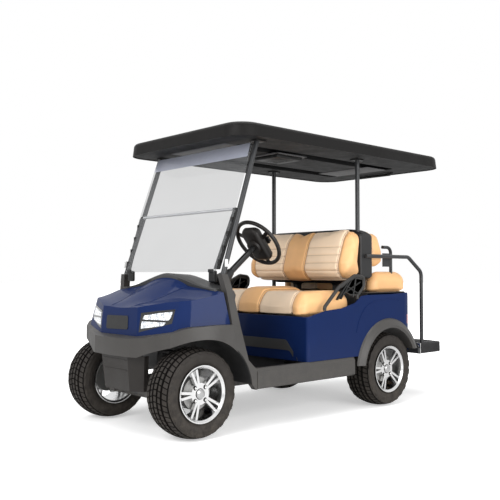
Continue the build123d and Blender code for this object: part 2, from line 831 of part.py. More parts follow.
with BuildPart() as pedals:
    for y, wide in ((column_y - 90, 110), (column_y + 70, 70)):
        with BuildSketch(Plane.XZ.offset(-y)):
            with BuildLine():
                Polyline(
                    (toe_start_x - 70, floor_z + mat_thickness + running_gap),
                    (toe_start_x - 30, floor_z + mat_thickness + running_gap),
                    (toe_start_x - 20, floor_z + 150),
                    (toe_start_x - 34, floor_z + 153),
                    close=True,
                )
            make_face()
        extrude(amount=wide / 2, both=True)
save(pedals.part, "pedals")

# ---- windscreen ---------------------------------------------------------------------
pane_thickness = 5.0
pane_half = fender_half - 97
pane_foot_half = pane_half - 33
seam_run = 401.0
seam_gap = 6.0
pane_length = (screen_top_z - screen_foot_z) / math.cos(lean)
screen_plane = Plane(origin=(screen_foot_x, 0, screen_foot_z), x_dir=(0, 1, 0), z_dir=(math.cos(lean), 0, math.sin(lean)))
rail_gap = strut_back * math.cos(lean) - strut_radius - pane_thickness / 2


def pane(low, high, low_half, high_half):
    """One acrylic pane between two distances up the leaning screen."""
    with BuildPart() as sheet:
        with BuildSketch(screen_plane):
            with BuildLine():
                Polyline((-low_half, low), (low_half, low), (high_half, high), (-high_half, high), close=True)
            make_face()
        extrude(amount=pane_thickness / 2, both=True)
        fillet(sheet.edges().filter_by(lambda e: abs(e.length - pane_thickness) < 0.01), 12)
    return sheet.part


save(pane(0, seam_run - seam_gap / 2, pane_foot_half, pane_half), "windscreen_lower")
save(pane(seam_run + seam_gap / 2, pane_length, pane_half, pane_half - 10), "windscreen_upper")

clip_depth = rail_gap - 2 * running_gap
with BuildPart() as screen_rails:
    back = screen_plane.offset(-pane_thickness / 2 - running_gap)
    with BuildSketch(back):
        for side in (1, -1):
            with BuildLine():
                Polyline(
                    (side * (pane_foot_half - 4), 20),
                    (side * (pane_half - 4), seam_run),
                    (side * (pane_half - 26), seam_run),
                    (side * (pane_foot_half - 26), 20),
                    close=True,
                )
            make_face()
        with Locations((0, seam_run)):
            Rectangle(2 * pane_half, 14)
        with Locations((pane_half - 16, pane_length - 40), (16 - pane_half, pane_length - 40)):
            Rectangle(24, 60)
    extrude(amount=-clip_depth)
save(screen_rails.part, "screen_rails")

# ---- rear body ----------------------------------------------------------------------
# One painted shell from the seat's front panel round the back of the cart, open on top.
body_front_x = seat_front_x
body_rear_x = rear_axle_x - 330
body_low_z = sill_top_z + running_gap
tail_corner = 140.0
front_corner = 22.0
rear_arch_radius = 300.0
# X and Z of the shell's top edge
body_top = [
    (body_front_x, 660),
    (rear_axle_x + 682, 695),
    (rear_axle_x + 510, 707),
    (rear_axle_x + 374, 738),
    (rear_axle_x + 307, 784),
    (rear_axle_x + 244, 790),
    (rear_axle_x - 43, 792),
    (body_rear_x + 79, 800),
]
# X and Z of the tail, which leans forward at the top
body_tail = [(body_rear_x + 79, 800), (body_rear_x + 9, 660), (body_rear_x, 560), (body_rear_x, 300)]
deck_thickness = 6.0
deck_top_z = 661.0
rear_deck_z = body_top[-1][1] + running_gap
riser_x = rear_axle_x + 204


def body_outline(inset):
    """Plan of the painted shell, held in by a wall."""
    with BuildSketch() as sketch:
        with Locations(((body_front_x + body_rear_x) / 2, 0)):
            Rectangle(body_front_x - body_rear_x, body_width)
        fillet(sketch.vertices().group_by(Axis.X)[0], tail_corner)
        fillet(sketch.vertices().group_by(Axis.X)[-1], front_corner)
        if inset:
            offset(amount=-inset)
    return sketch.sketch


def body_shape(inset):
    """The painted shell's outside, or with an inset the space inside it, which is open on top."""
    with BuildPart() as shape:
        extrude(body_outline(inset), amount=900)
        with BuildSketch(Plane.XZ):
            with BuildLine():
                rear = [(x + inset, z) for x, z in body_tail]
                top = [(body_front_x, 900), (rear[0][0], 900)] if inset else body_top
                low = 300 if inset else body_low_z
                Polyline(*top, *rear[0 if inset else 1 : -1], (rear[-1][0], low), (body_front_x, low), close=True)
            make_face()
        extrude(amount=body_half, both=True, mode=Mode.INTERSECT)
    return shape.part


body_form = body_shape(0)

tail_lamp_low = 572.0
tail_lamp_high = 640.0
tail_lamp_front_x = body_rear_x + 100
tail_lamp_y = 455.0
tail_lamp_depth = 28.0


def tail_lamp_zone(grow):
    """Corner blocks that hold the tail lights, grown by a clearance."""
    with BuildPart() as zone:
        for side in (1, -1):
            with BuildSketch(Plane.XY.offset(tail_lamp_low - grow)):
                with Locations((tail_lamp_front_x - 150 + grow, side * (tail_lamp_y + 150 - grow))):
                    Rectangle(300, 300)
            extrude(amount=tail_lamp_high - tail_lamp_low + 2 * grow)
    return zone.part


with BuildPart() as tail_lights:
    add(body_form)
    add(tail_lamp_zone(0), mode=Mode.INTERSECT)
    extrude(body_outline(tail_lamp_depth), amount=900, mode=Mode.SUBTRACT)
save(tail_lights.part, "tail_lights")

with BuildPart() as rear_body:
    add(body_form)
    add(body_shape(panel_wall), mode=Mode.SUBTRACT)
    add(tail_lamp_zone(running_gap), mode=Mode.SUBTRACT)
    with BuildSketch(Plane.XZ):
        with Locations((rear_axle_x, axle_z)):
            Circle(rear_arch_radius)
    extrude(amount=2 * body_half, both=True, mode=Mode.SUBTRACT)
save(rear_body.part, "rear_body")

flare_reach = 61.0
flare_proud = 30.0
flare_wall = 6.0
well_inner_y = 385.0
flare_front_z = 311.0
flare_rear_z = 389.0
with BuildPart() as rear_flares:
    for side in (1, -1):
        inner = rear_arch_radius - running_gap - flare_wall
        outer = rear_arch_radius - running_gap
        skin = body_half + running_gap
        with BuildSketch(Plane(origin=(rear_axle_x, 0, axle_z), x_dir=(1, 0, 0), z_dir=(0, 0, 1))):
            with BuildLine():
                Polyline(
                    (inner, side * well_inner_y),
                    (outer, side * well_inner_y),
                    (outer, side * skin),
                    (outer + flare_reach, side * skin),
                    (outer + flare_reach - 8, side * (skin + 12)),
                    (outer + 14, side * (skin + flare_proud)),
                    (inner, side * (skin + flare_proud - 6)),
                    close=True,
                )
            make_face()
        revolve(axis=Axis((rear_axle_x, 0, axle_z), (0, 1, 0)))
    with BuildSketch(Plane.XZ):
        with BuildLine():
            Polyline(
                (rear_axle_x + 500, flare_front_z),
                (rear_axle_x, flare_front_z),
                (rear_axle_x - 200, flare_rear_z),
                (rear_axle_x - 500, flare_rear_z),
                (rear_axle_x - 500, -200),
                (rear_axle_x + 500, -200),
                close=True,
            )
        make_face()
    extrude(amount=800, both=True, mode=Mode.SUBTRACT)
save(rear_flares.part, "rear_flares")

# ---- seat deck and battery pack -----------------------------------------------------
deck_half = body_half - panel_wall - running_gap
rear_deck_half = body_half - 30
bay_front_x = body_front_x - 55
bay_rear_x = kick_start_x + 40
bay_half = 330.0
with BuildPart() as seat_deck:
    with BuildSketch(Plane.XY.offset(deck_top_z - deck_thickness)):
        with Locations(((body_front_x - panel_wall - 1 + riser_x) / 2, 0)):
            Rectangle(body_front_x - panel_wall - 1 - riser_x, 2 * deck_half)
        with Locations(((bay_front_x + bay_rear_x) / 2, 0)):
            Rectangle(bay_front_x - bay_rear_x, 2 * bay_half, mode=Mode.SUBTRACT)
    extrude(amount=deck_thickness)
    with BuildSketch(Plane.XY.offset(deck_top_z - deck_thickness)):
        with Locations((riser_x, 0)):
            Rectangle(deck_thickness, 2 * rear_deck_half)
    extrude(amount=rear_deck_z - deck_top_z + deck_thickness)
    with BuildSketch(Plane.XY.offset(rear_deck_z)):
        with Locations(((riser_x + body_rear_x + 12) / 2, 0)):
            Rectangle(riser_x - body_rear_x - 12 + deck_thickness, 2 * rear_deck_half)
        fillet(vertices().group_by(Axis.X)[0], tail_corner - 20)
    extrude(amount=deck_thickness)
    fillet(edges().filter_by(Axis.Z).group_by(Axis.X)[-1], front_corner - panel_wall)
save(seat_deck.part, "seat_deck")
rear_deck_top = rear_deck_z + deck_thickness

battery_height = 270.0
with BuildPart() as battery_pack:
    with BuildSketch(Plane.XY.offset(floor_z + running_gap)):
        with Locations(((bay_front_x + bay_rear_x) / 2, 0)):
            RectangleRounded(bay_front_x - bay_rear_x - 20, 2 * bay_half - 40, 12)
    extrude(amount=battery_height)
save(battery_pack.part, "battery_pack")

# ---- seats --------------------------------------------------------------------------
cushion_half = body_half - 30
cushion_front_x = seat_front_x + 4
cushion_rear_x = rear_axle_x + 330
cushion_base_z = deck_top_z + running_gap
cushion_top_z = 816.0
with BuildPart() as front_cushion:
    with BuildSketch(Plane.XY.offset(cushion_base_z)):
        with Locations(((cushion_front_x + cushion_rear_x) / 2, 0)):
            RectangleRounded(cushion_front_x - cushion_rear_x, 2 * cushion_half, 60)
    extrude(amount=cushion_top_z - cushion_base_z)
    fillet(faces().sort_by(Axis.Z)[-1].edges(), 50)
save(front_cushion.part, "front_cushion")

back_front_x = rear_axle_x + 365
back_depth = 184.0
back_low_z = 859.0
back_high_z = 1270.0
back_half = cushion_half - 30
notch_depth = 42.0                # the backs dip between the two places
notch_half = 85.0


def back_pad(front_x, depth, low_z, half):
    """A padded back: rounded from the front, from above and from the side, dipped on top."""
    middle_x = front_x - depth / 2
    with BuildPart() as pad:
        with BuildSketch(Plane.XZ):
            with Locations((middle_x, (low_z + back_high_z) / 2)):
                RectangleRounded(depth, back_high_z - low_z, 80)
        extrude(amount=half, both=True)
        with BuildSketch(Plane.YZ.offset(front_x - depth)) as outline:
            with BuildLine():
                Polyline(
                    (0, back_high_z - notch_depth),
                    (notch_half, back_high_z),
                    (half, back_high_z),
                    (half, low_z),
                    (-half, low_z),
                    (-half, back_high_z),
                    (-notch_half, back_high_z),
                    close=True,
                )
            make_face()
            fillet(outline.vertices().group_by(Axis.X)[0] + outline.vertices().group_by(Axis.X)[-1], 105)
        extrude(amount=depth, mode=Mode.INTERSECT)
        with BuildSketch(Plane.XY.offset(low_z)):
            with Locations((middle_x, 0)):
                RectangleRounded(depth, 2 * half, 80)
        extrude(amount=back_high_z - low_z, mode=Mode.INTERSECT)
    return pad.part


save(back_pad(back_front_x, back_depth, back_low_z, back_half), "front_backrest")

shell_front_x = back_front_x - back_depth - running_gap
shell_depth = 136.0
shell_half = 486.0
leg_y = 200.0
rear_strut_x = rear_axle_x + 143
rear_strut_y = 428.0
with BuildPart() as back_shell:
    with BuildSketch(Plane.XZ):
        with Locations((shell_front_x - shell_depth / 2, (back_low_z + back_high_z) / 2)):
            RectangleRounded(shell_depth, back_high_z - back_low_z - 20, 30)
    extrude(amount=shell_half, both=True)
    with BuildSketch(Plane.XY.offset(rear_deck_top + running_gap)):
        with Locations((shell_front_x - 75, leg_y), (shell_front_x - 75, -leg_y)):
            Rectangle(60, 40)
    extrude(amount=100)
    with BuildSketch(Plane.XY.offset(rear_deck_top)):
        with Locations((rear_strut_x, rear_strut_y), (rear_strut_x, -rear_strut_y)):
            Circle(strut_radius + running_gap)
    extrude(amount=600, mode=Mode.SUBTRACT)
save(back_shell.part, "back_shell")

rear_back_x = shell_front_x - shell_depth - running_gap
rear_back_depth = 182.0
rear_back_low_z = 945.0
rear_back_half = 480.0
save(back_pad(rear_back_x, rear_back_depth, rear_back_low_z, rear_back_half), "rear_backrest")

loop_setback = 240.0
loop_x = rear_axle_x - loop_setback
loop_y = 435.0
loop_radius = 12.0
rear_cushion_front_x = shell_front_x - shell_depth - 20
rear_cushion_rear_x = rear_axle_x - 409
rear_cushion_top_z = 943.0
rear_cushion_half = 500.0
with BuildPart() as rear_cushion:
    with BuildSketch(Plane.XY.offset(rear_deck_top + running_gap)):
        with Locations(((rear_cushion_front_x + rear_cushion_rear_x) / 2, 0)):
            RectangleRounded(rear_cushion_front_x - rear_cushion_rear_x, 2 * rear_cushion_half, 70)
    extrude(amount=rear_cushion_top_z - rear_deck_top)
    fillet(faces().sort_by(Axis.Z)[-1].edges(), 55)
    with BuildSketch(Plane.XY.offset(rear_deck_top)):
        with Locations((loop_x, loop_y), (loop_x, -loop_y)):
            Circle(loop_radius + 2)
    extrude(amount=300, mode=Mode.SUBTRACT)
save(rear_cushion.part, "rear_cushion")

# ---- armrests and handrails ---------------------------------------------------------
arm_radius = 12.0
arm_y = body_half - panel_wall / 2
with BuildPart() as front_armrests:
    for side in (1, -1):
        plane = Plane.XZ.offset(-side * arm_y)
        with BuildLine(plane):
            FilletPolyline(
                (rear_axle_x + 682, 696.5),
                (rear_axle_x + 682, 720),
                (rear_axle_x + 534, 852),
                (rear_axle_x + 372, 925),
                (rear_axle_x + 276, 915),
                (rear_axle_x + 278, 850),
                (rear_axle_x + 348, 790),
                (rear_axle_x + 348, 767),
                radius=(12, 60, 40, 30, 40, 10),
            )
        with BuildSketch(Plane(origin=(rear_axle_x + 682, side * arm_y, 696.5), z_dir=(0, 0, 1))):
            Circle(arm_radius)
        sweep()
        with BuildSketch(plane):
            with BuildLine():
                Polyline(
                    (rear_axle_x + 534, 848),
                    (rear_axle_x + 372, 922),
                    (rear_axle_x + 282, 910),
                    (rear_axle_x + 282, 852),
                    (rear_axle_x + 352, 790),
                    (rear_axle_x + 420, 790),
                    close=True,
                )
            make_face()
        extrude(amount=4, both=True)
save(front_armrests.part, "front_armrests")

loop_high_z = 1135.0
loop_end_x = rear_back_x - rear_back_depth - running_gap
with BuildPart() as rear_armrests:
    for side in (1, -1):
        plane = Plane.XZ.offset(-side * loop_y)
        with BuildLine(plane):
            FilletPolyline(
                (loop_x, rear_deck_top + running_gap),
                (loop_x, loop_high_z),
                (loop_end_x, loop_high_z),
                radius=45,
            )
        with BuildSketch(Plane.XY.offset(rear_deck_top + running_gap)):
            with Locations((loop_x, side * loop_y)):
                Circle(loop_radius)
        sweep()
        with BuildSketch(plane):
            with Locations(((loop_x + loop_end_x) / 2, 1040)):
                Rectangle(loop_end_x - loop_x - 8, 100)
        extrude(amount=4, both=True)
save(rear_armrests.part, "rear_armrests")

# ---- rear step and handrails --------------------------------------------------------
step_depth = 300.0
tread_thickness = 37.0
post_x = rear_axle_x - 541
rail_tube_radius = 14.0
handrail_y = 500.0
step_half = handrail_y + 20       # the posts stand on the frame, just outside the tread
tread_half = handrail_y - rail_tube_radius - 2
handrail_z = 1064.0
bar_height = 40.0
bar_lap = 32.0                  # the step's bars reach this far under the rails
step_front_x = tail_x + step_depth
with BuildPart() as step_frame:
    for side in (1, -1):
        with BuildSketch(Plane.XY.offset(kick_z - running_gap)):
            with Locations(((rail_rear_x + bar_lap + tail_x + 30) / 2, side * rail_y)):
                Rectangle(rail_rear_x + bar_lap - tail_x - 30, 40)
        extrude(amount=-bar_height)
        with BuildSketch(Plane.XY.offset(kick_z - running_gap)):
            with Locations(((step_front_x + tail_x) / 2, side * (step_half - 20))):
                Rectangle(step_depth, 40)
        extrude(amount=-bar_height)
    for x in (step_front_x - 15, tail_x + 15):
        with BuildSketch(Plane.XY.offset(kick_z - running_gap)):
            with Locations((x, 0)):
                Rectangle(30, 2 * step_half)
        extrude(amount=-bar_height)
save(step_frame.part, "step_frame")

with BuildPart() as step_tread:
    with BuildSketch(Plane.XY.offset(kick_z)):
        with Locations(((step_front_x + tail_x) / 2, 0)):
            RectangleRounded(step_depth, 2 * tread_half, 14)
    extrude(amount=tread_thickness)
    fillet(faces().sort_by(Axis.Z)[-1].edges(), 6)
save(step_tread.part, "step_tread")

with BuildPart() as handrails:
    for side in (1, -1):
        plane = Plane.XZ.offset(-side * handrail_y)
        with BuildLine(plane):
            FilletPolyline(
                (rear_strut_x, handrail_z),
                (rear_axle_x - 370, handrail_z),
                (post_x, handrail_z - 114),
                (post_x, kick_z),
                radius=60,
            )
        with BuildSketch(Plane(origin=(rear_strut_x, side * handrail_y, handrail_z), z_dir=(-1, 0, 0))):
            Circle(rail_tube_radius)
        sweep()
save(handrails.part, "handrails")

# ---- struts and canopy --------------------------------------------------------------
with BuildPart() as rear_struts:
    with BuildSketch(Plane.XY.offset(rear_deck_top + running_gap)):
        with Locations((rear_strut_x, rear_strut_y), (rear_strut_x, -rear_strut_y)):
            Circle(strut_radius)
    extrude(amount=strut_top_z - rear_deck_top - running_gap)
save(rear_struts.part, "rear_struts")

canopy_corner = 150.0
canopy_wall = 5.0
canopy_taper = 7.0
canopy_edge = 30.0
canopy_x = canopy_front_x - canopy_length / 2
dome_height = 22.0
dome_inset = 95.0


def canopy_form(inset):
    """Rim and low dome of the roof, held in by its wall."""
    with BuildPart() as form:
        with BuildSketch(Plane.XY.offset(canopy_base_z)):
            with Locations((canopy_x, 0)):
                RectangleRounded(canopy_length - 2 * inset, canopy_width - 2 * inset, canopy_corner - inset)
        extrude(amount=canopy_rim_height - inset, taper=canopy_taper)
        fillet(form.faces().sort_by(Axis.Z)[-1].edges(), canopy_edge - inset)
        low = Plane.XY.offset(canopy_base_z + canopy_rim_height - inset - 4)
        high = Plane.XY.offset(canopy_base_z + canopy_rim_height - inset + dome_height)
        with BuildSketch(low):
            with Locations((canopy_x, 0)):
                RectangleRounded(canopy_length - 2 * dome_inset, canopy_width - 2 * dome_inset, canopy_corner - 50)
        with BuildSketch(high):
            with Locations((canopy_x, 0)):
                RectangleRounded(canopy_length - 5 * dome_inset, canopy_width - 5 * dome_inset, canopy_corner - 60)
        loft(ruled=True)
    return form.part


with BuildPart() as canopy:
    add(canopy_form(0))
    add(canopy_form(canopy_wall), mode=Mode.SUBTRACT)
save(canopy.part, "canopy")

liner_z = canopy_base_z + 5
liner_thickness = 5.0
channel_half = 70.0
channel_depth = 40.0
with BuildPart() as canopy_liner:
    inset = canopy_wall + running_gap + 2
    with BuildSketch(Plane.XY.offset(liner_z)):
        with Locations((canopy_x, 0)):
            RectangleRounded(canopy_length - 2 * inset, canopy_width - 2 * inset, canopy_corner - inset)
    extrude(amount=liner_thickness)
    for wall, mode, low in ((0, Mode.ADD, 0), (liner_thickness, Mode.SUBTRACT, -1)):
        with BuildSketch(Plane.XY.offset(liner_z + low)):
            with Locations((canopy_x, 260), (canopy_x, -260)):
                RectangleRounded(canopy_length - 500 - 2 * wall, 2 * channel_half - 2 * wall, 40)
        extrude(amount=channel_depth - wall, mode=mode)
save(canopy_liner.part, "canopy_liner")

# ---- brake cables -------------------------------------------------------------------
cable_radius = 5.0
cable_y = 300.0
cable_front_x = front_axle_x - 480
cable_clip_z = rail_top - running_gap - cable_radius   # clipped up under the floor
with BuildPart() as brake_cables:
    for side in (1, -1):
        plane = Plane.XZ.offset(-side * cable_y)
        with BuildLine(plane):
            FilletPolyline(
                (cable_front_x, cable_clip_z),
                (cable_front_x - 130, cable_clip_z),
                (rear_axle_x + 720, cable_clip_z - 62),
                (rear_axle_x + 450, cable_clip_z - 84),
                (rear_axle_x + 190, axle_z),
                (rear_axle_x + axle_tube_radius + running_gap, axle_z),
                radius=140,
            )
        with BuildSketch(Plane(origin=(cable_front_x, side * cable_y, cable_clip_z), z_dir=(-1, 0, 0))):
            Circle(cable_radius)
        sweep()
save(brake_cables.part, "brake_cables")
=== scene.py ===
import math
import bmesh
import bpy
from mathutils import Matrix, Quaternion, Vector
from mathutils.bvhtree import BVHTree


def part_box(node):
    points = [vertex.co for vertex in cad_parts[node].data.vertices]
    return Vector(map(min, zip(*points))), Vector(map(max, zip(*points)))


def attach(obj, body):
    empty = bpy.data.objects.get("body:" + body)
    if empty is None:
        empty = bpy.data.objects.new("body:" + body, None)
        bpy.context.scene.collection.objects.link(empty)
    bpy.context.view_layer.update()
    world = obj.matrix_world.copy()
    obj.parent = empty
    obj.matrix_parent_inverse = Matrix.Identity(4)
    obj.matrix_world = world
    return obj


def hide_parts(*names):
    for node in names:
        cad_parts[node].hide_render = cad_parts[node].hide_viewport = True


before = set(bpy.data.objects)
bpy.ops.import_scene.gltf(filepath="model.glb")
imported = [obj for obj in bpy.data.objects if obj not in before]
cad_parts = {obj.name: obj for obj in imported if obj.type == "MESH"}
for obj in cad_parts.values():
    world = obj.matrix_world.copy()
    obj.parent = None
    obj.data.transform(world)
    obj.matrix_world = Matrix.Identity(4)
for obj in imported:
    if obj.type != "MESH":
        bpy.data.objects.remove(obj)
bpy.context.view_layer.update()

# ---- studio
# A plain pale floor, a white surround and three large soft lamps. The
# camera stands in front of the cart on its left, at the height of the seats.
scene = bpy.context.scene
scene.view_settings.view_transform = "Standard"


def placed(name, data):
    """An object of the data, put in the scene."""
    made = bpy.data.objects.new(name, data)
    scene.collection.objects.link(made)
    return made


def mesh_object(name, mesh):
    """An object of a bmesh, put in the scene."""
    data = bpy.data.meshes.new(name)
    mesh.to_mesh(data)
    mesh.free()
    return placed(name, data)


camera = placed("camera", bpy.data.cameras.new("camera"))
camera.data.lens = 52.2
camera.data.sensor_width = 36.0
camera.location = (3.6588, 3.7338, 0.9361)
camera.rotation_mode = "QUATERNION"
camera.rotation_quaternion = Vector((-0.6774, -0.7348, 0.0330)).to_track_quat("-Z", "Y")
scene.camera = camera


def soft_lamp(name, place, aim, size, watts):
    lamp = placed(name, bpy.data.lights.new(name, "AREA"))
    lamp.data.shape = "RECTANGLE"
    lamp.data.size, lamp.data.size_y = size
    lamp.data.energy = watts
    lamp.location = place
    lamp.rotation_mode = "QUATERNION"
    lamp.rotation_quaternion = (Vector(aim) - Vector(place)).to_track_quat("-Z", "Y")


soft_lamp("lamp_over", (0.4, 0.3, 5.2), (0.0, 0.0, 0.6), (5.0, 3.6), 150)
soft_lamp("lamp_front", (5.2, 1.4, 3.4), (0.3, 0.0, 0.8), (2.6, 2.2), 145)
soft_lamp("lamp_side", (0.9, 5.4, 2.0), (0.0, 0.0, 0.7), (4.6, 2.2), 200)


def empty_material(name):
    material = bpy.data.materials.new(name)
    material.use_nodes = True
    material.node_tree.nodes.clear()
    return material, material.node_tree


def add_node(tree, kind, inputs=None, **settings):
    """Adds a shader node, its inputs given values or joined to sockets, and gives its outputs."""
    made = tree.nodes.new("ShaderNode" + kind)
    for setting, value in settings.items():
        setattr(made, setting, value)
    for socket, value in (inputs or {}).items():
        if isinstance(value, bpy.types.NodeSocket):
            tree.links.new(value, made.inputs[socket])
        else:
            made.inputs[socket].default_value = value
    return made.outputs


def ranged(tree, value, from_low, from_high, to_low, to_high):
    """A value taken from one range to another and held at both ends."""
    return add_node(tree, "MapRange", {"Value": value, "From Min": from_low, "From Max": from_high,
                                       "To Min": to_low, "To Max": to_high})[0]


def calc(tree, operation, *values):
    """One sum on values or sockets."""
    return add_node(tree, "Math", dict(enumerate(values)), operation=operation)[0]


world = bpy.data.worlds.new("studio")
scene.world = world
world.use_nodes = True
sky = world.node_tree
sky.nodes.clear()
SKY_LIGHT, SKY_SEEN = 0.62, 1.0
sky_path = add_node(sky, "LightPath")
sky_shown = calc(sky, "MAXIMUM", calc(sky, "MAXIMUM", sky_path["Is Camera Ray"], sky_path["Is Glossy Ray"]),
                 sky_path["Is Transmission Ray"])
sky_light, sky_seen = (add_node(sky, "Background", {"Color": (1.0, 1.0, 1.0, 1.0), "Strength": strength})[0]
                       for strength in (SKY_LIGHT, SKY_SEEN))
sky_mix = add_node(sky, "MixShader", {0: sky_shown, 1: sky_light, 2: sky_seen})
add_node(sky, "OutputWorld", {0: sky_mix[0]})

floor_mesh = bmesh.new()
bmesh.ops.create_grid(floor_mesh, x_segments=1, y_segments=1, size=60.0)
studio_floor = mesh_object("studio_floor", floor_mesh)

floor_paper, paper_tree = empty_material("studio_paper")
paper = add_node(paper_tree, "BsdfDiffuse", {"Color": (0.86, 0.86, 0.86, 1.0)})
# The paper takes the shadow under the cart, and a glow takes it to white further out.
paper_place = add_node(paper_tree, "TexCoord")["Object"]
paper_far = add_node(paper_tree, "VectorMath", {0: paper_place}, operation="LENGTH")["Value"]
paper_fade = ranged(paper_tree, paper_far, 1.2, 3.2, 0.42, 1.0)
paper_seen = add_node(paper_tree, "LightPath")["Is Camera Ray"]
paper_glow = add_node(paper_tree, "Emission", {"Strength": calc(paper_tree, "MULTIPLY", paper_fade, paper_seen)})
paper_add = add_node(paper_tree, "AddShader", {0: paper[0], 1: paper_glow[0]})
add_node(paper_tree, "OutputMaterial", {0: paper_add[0]})
studio_floor.data.materials.append(floor_paper)

# ---- frame, axles and steering gear
# Welded steel tube and plate, dipped in satin black, with road dust on its
# lower faces. The rear axle and knuckles are grey castings; the springs and the
# tie rod are bare steel that has gone dull.


def effect_group(name, inputs, outputs):
    group = bpy.data.node_groups.new(name, "ShaderNodeTree")
    for socket, kind, value in inputs:
        made = group.interface.new_socket(socket, in_out="INPUT", socket_type=kind)
        made.default_value = value
    for socket, kind in outputs:
        group.interface.new_socket(socket, in_out="OUTPUT", socket_type=kind)
    return group, group.nodes.new("NodeGroupInput").outputs, group.nodes.new("NodeGroupOutput").inputs


FLOAT, COLOUR = "NodeSocketFloat", "NodeSocketColor"

# mottle: a colour that drifts a little lighter and darker over the surface
mottle, mottle_in, mottle_out = effect_group(
    "mottle",
    [("Colour", COLOUR, (0.5, 0.5, 0.5, 1.0)), ("Scale", FLOAT, 8.0), ("Amount", FLOAT, 0.15)],
    [("Colour", COLOUR), ("Drift", FLOAT)],
)
mottle_place = add_node(mottle, "TexCoord")["Object"]
mottle_noise = add_node(mottle, "TexNoise", {"Vector": mottle_place, "Scale": mottle_in["Scale"], "Detail": 4.0,
                                             "Roughness": 0.6})[0]
mottle_range = ranged(mottle, mottle_noise, 0.25, 0.75, calc(mottle, "SUBTRACT", 1.0, mottle_in["Amount"]),
                      calc(mottle, "ADD", 1.0, mottle_in["Amount"]))
mottled = add_node(mottle, "VectorMath", {0: mottle_in["Colour"], "Scale": mottle_range}, operation="SCALE")
mottle.links.new(mottled[0], mottle_out["Colour"])
mottle.links.new(mottle_noise, mottle_out["Drift"])

# road_dust: pale dust that thins out with height above the ground
road_dust, dust_in, dust_out = effect_group(
    "road_dust",
    [("Colour", COLOUR, (0.1, 0.1, 0.1, 1.0)), ("Dust", COLOUR, (0.30, 0.26, 0.21, 1.0)), ("Amount", FLOAT, 0.3),
     ("Top", FLOAT, 0.5)],
    [("Colour", COLOUR)],
)
dust_place = add_node(road_dust, "TexCoord")["Object"]
dust_height = add_node(road_dust, "SeparateXYZ", {0: dust_place})["Z"]
dust_noise = add_node(road_dust, "TexNoise", {"Vector": dust_place, "Scale": 22.0, "Detail": 6.0, "Roughness": 0.7})
dust_share = calc(road_dust, "MULTIPLY", ranged(road_dust, dust_height, 0.0, dust_in["Top"], 1.0, 0.0),
                  ranged(road_dust, dust_noise[0], 0.35, 0.75, 0.0, 1.0))
dust_mask = calc(road_dust, "MULTIPLY", dust_share, dust_in["Amount"])
dust_mix = add_node(road_dust, "Mix", {"Factor": dust_mask, "A": dust_in["Colour"], "B": dust_in["Dust"]},
                    data_type="RGBA")
road_dust.links.new(dust_mix["Result"], dust_out["Colour"])

# fine_grain: the height of a moulded or sprayed skin, pebbles over a slow swell
fine_grain, grain_in, grain_out = effect_group(
    "fine_grain",
    [("Scale", FLOAT, 900.0), ("Pebble", FLOAT, 0.7)],
    [("Height", FLOAT)],
)
grain_place = add_node(fine_grain, "TexCoord")["Object"]
grain_cells = add_node(fine_grain, "TexVoronoi", {"Vector": grain_place, "Scale": grain_in["Scale"]},
                       feature="SMOOTH_F1")["Distance"]
grain_slow = calc(fine_grain, "MULTIPLY", grain_in["Scale"], 0.25)
grain_swell = add_node(fine_grain, "TexNoise", {"Vector": grain_place, "Scale": grain_slow, "Detail": 3.0})[0]
grain_mix = add_node(fine_grain, "Mix", {"Factor": grain_in["Pebble"], "A": grain_swell, "B": grain_cells},
                     data_type="FLOAT")
fine_grain.links.new(grain_mix["Result"], grain_out["Height"])


def use_group(tree, group, **values):
    return add_node(tree, "Group", values, node_tree=group)


def rough_range(tree, drift, low, high):
    """Turns a drift of the surface into a roughness between two values."""
    return ranged(tree, drift, 0.3, 0.7, low, high)


def bumped(tree, height, strength, distance):
    return add_node(tree, "Bump", {"Strength": strength, "Distance": distance, "Height": height})[0]


def principled(tree, inputs):
    """The one shader of a material, joined to its output."""
    add_node(tree, "OutputMaterial", {0: add_node(tree, "BsdfPrincipled", inputs)[0]})


GRAIN_DEPTH = 0.0006


def skin(name, colour, rough, grain, bump=0.3, drift=0.12, dust=0.0, dust_top=0.5,
         metal=0.0, coat=0.0, coat_rough=0.03, drift_scale=9.0, specular=0.5):
    """A moulded, painted or cast surface: drifting colour, fine grain, and dust near the ground."""
    material, tree = empty_material(name)
    drifted = use_group(tree, mottle, Colour=(*colour, 1.0), Scale=drift_scale, Amount=drift)
    seen = drifted["Colour"]
    if dust:
        seen = use_group(tree, road_dust, Colour=seen, Amount=dust, Top=dust_top)["Colour"]
    inputs = {"Base Color": seen, "Roughness": rough_range(tree, drifted["Drift"], *rough), "Metallic": metal,
              "Coat Weight": coat, "Coat Roughness": coat_rough, "Specular IOR Level": specular}
    if grain:
        inputs["Normal"] = bumped(tree, use_group(tree, fine_grain, Scale=grain)["Height"], bump, GRAIN_DEPTH)
    principled(tree, inputs)
    return material


def dress(material, *nodes):
    for node in nodes:
        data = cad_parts[node].data
        data.materials.clear()
        data.materials.append(material)


def piece(name, mesh, material, body="chassis", smooth=True):
    """Makes an object of a bmesh, gives it its finish and lets it ride on its body."""
    made = mesh_object(name, mesh)
    if smooth:
        made.data.shade_smooth()
        made.data.set_sharp_from_angle(angle=math.radians(38))
    for finish in material if isinstance(material, list) else [material]:
        made.data.materials.append(finish)
    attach(made, body)
    return made


dress(skin("frame_black", (0.032, 0.032, 0.033), (0.42, 0.62), 420, dust=0.5, dust_top=0.55),
      "chassis_frame", "front_suspension")
dress(skin("spring_steel", (0.20, 0.195, 0.19), (0.38, 0.6), 300, metal=0.8, dust=0.4), "rear_springs", "tie_rod")
dress(skin("cast_grey", (0.30, 0.30, 0.295), (0.34, 0.5), 260, metal=0.7, dust=0.3),
      "rear_axle", "knuckle_left", "knuckle_right")

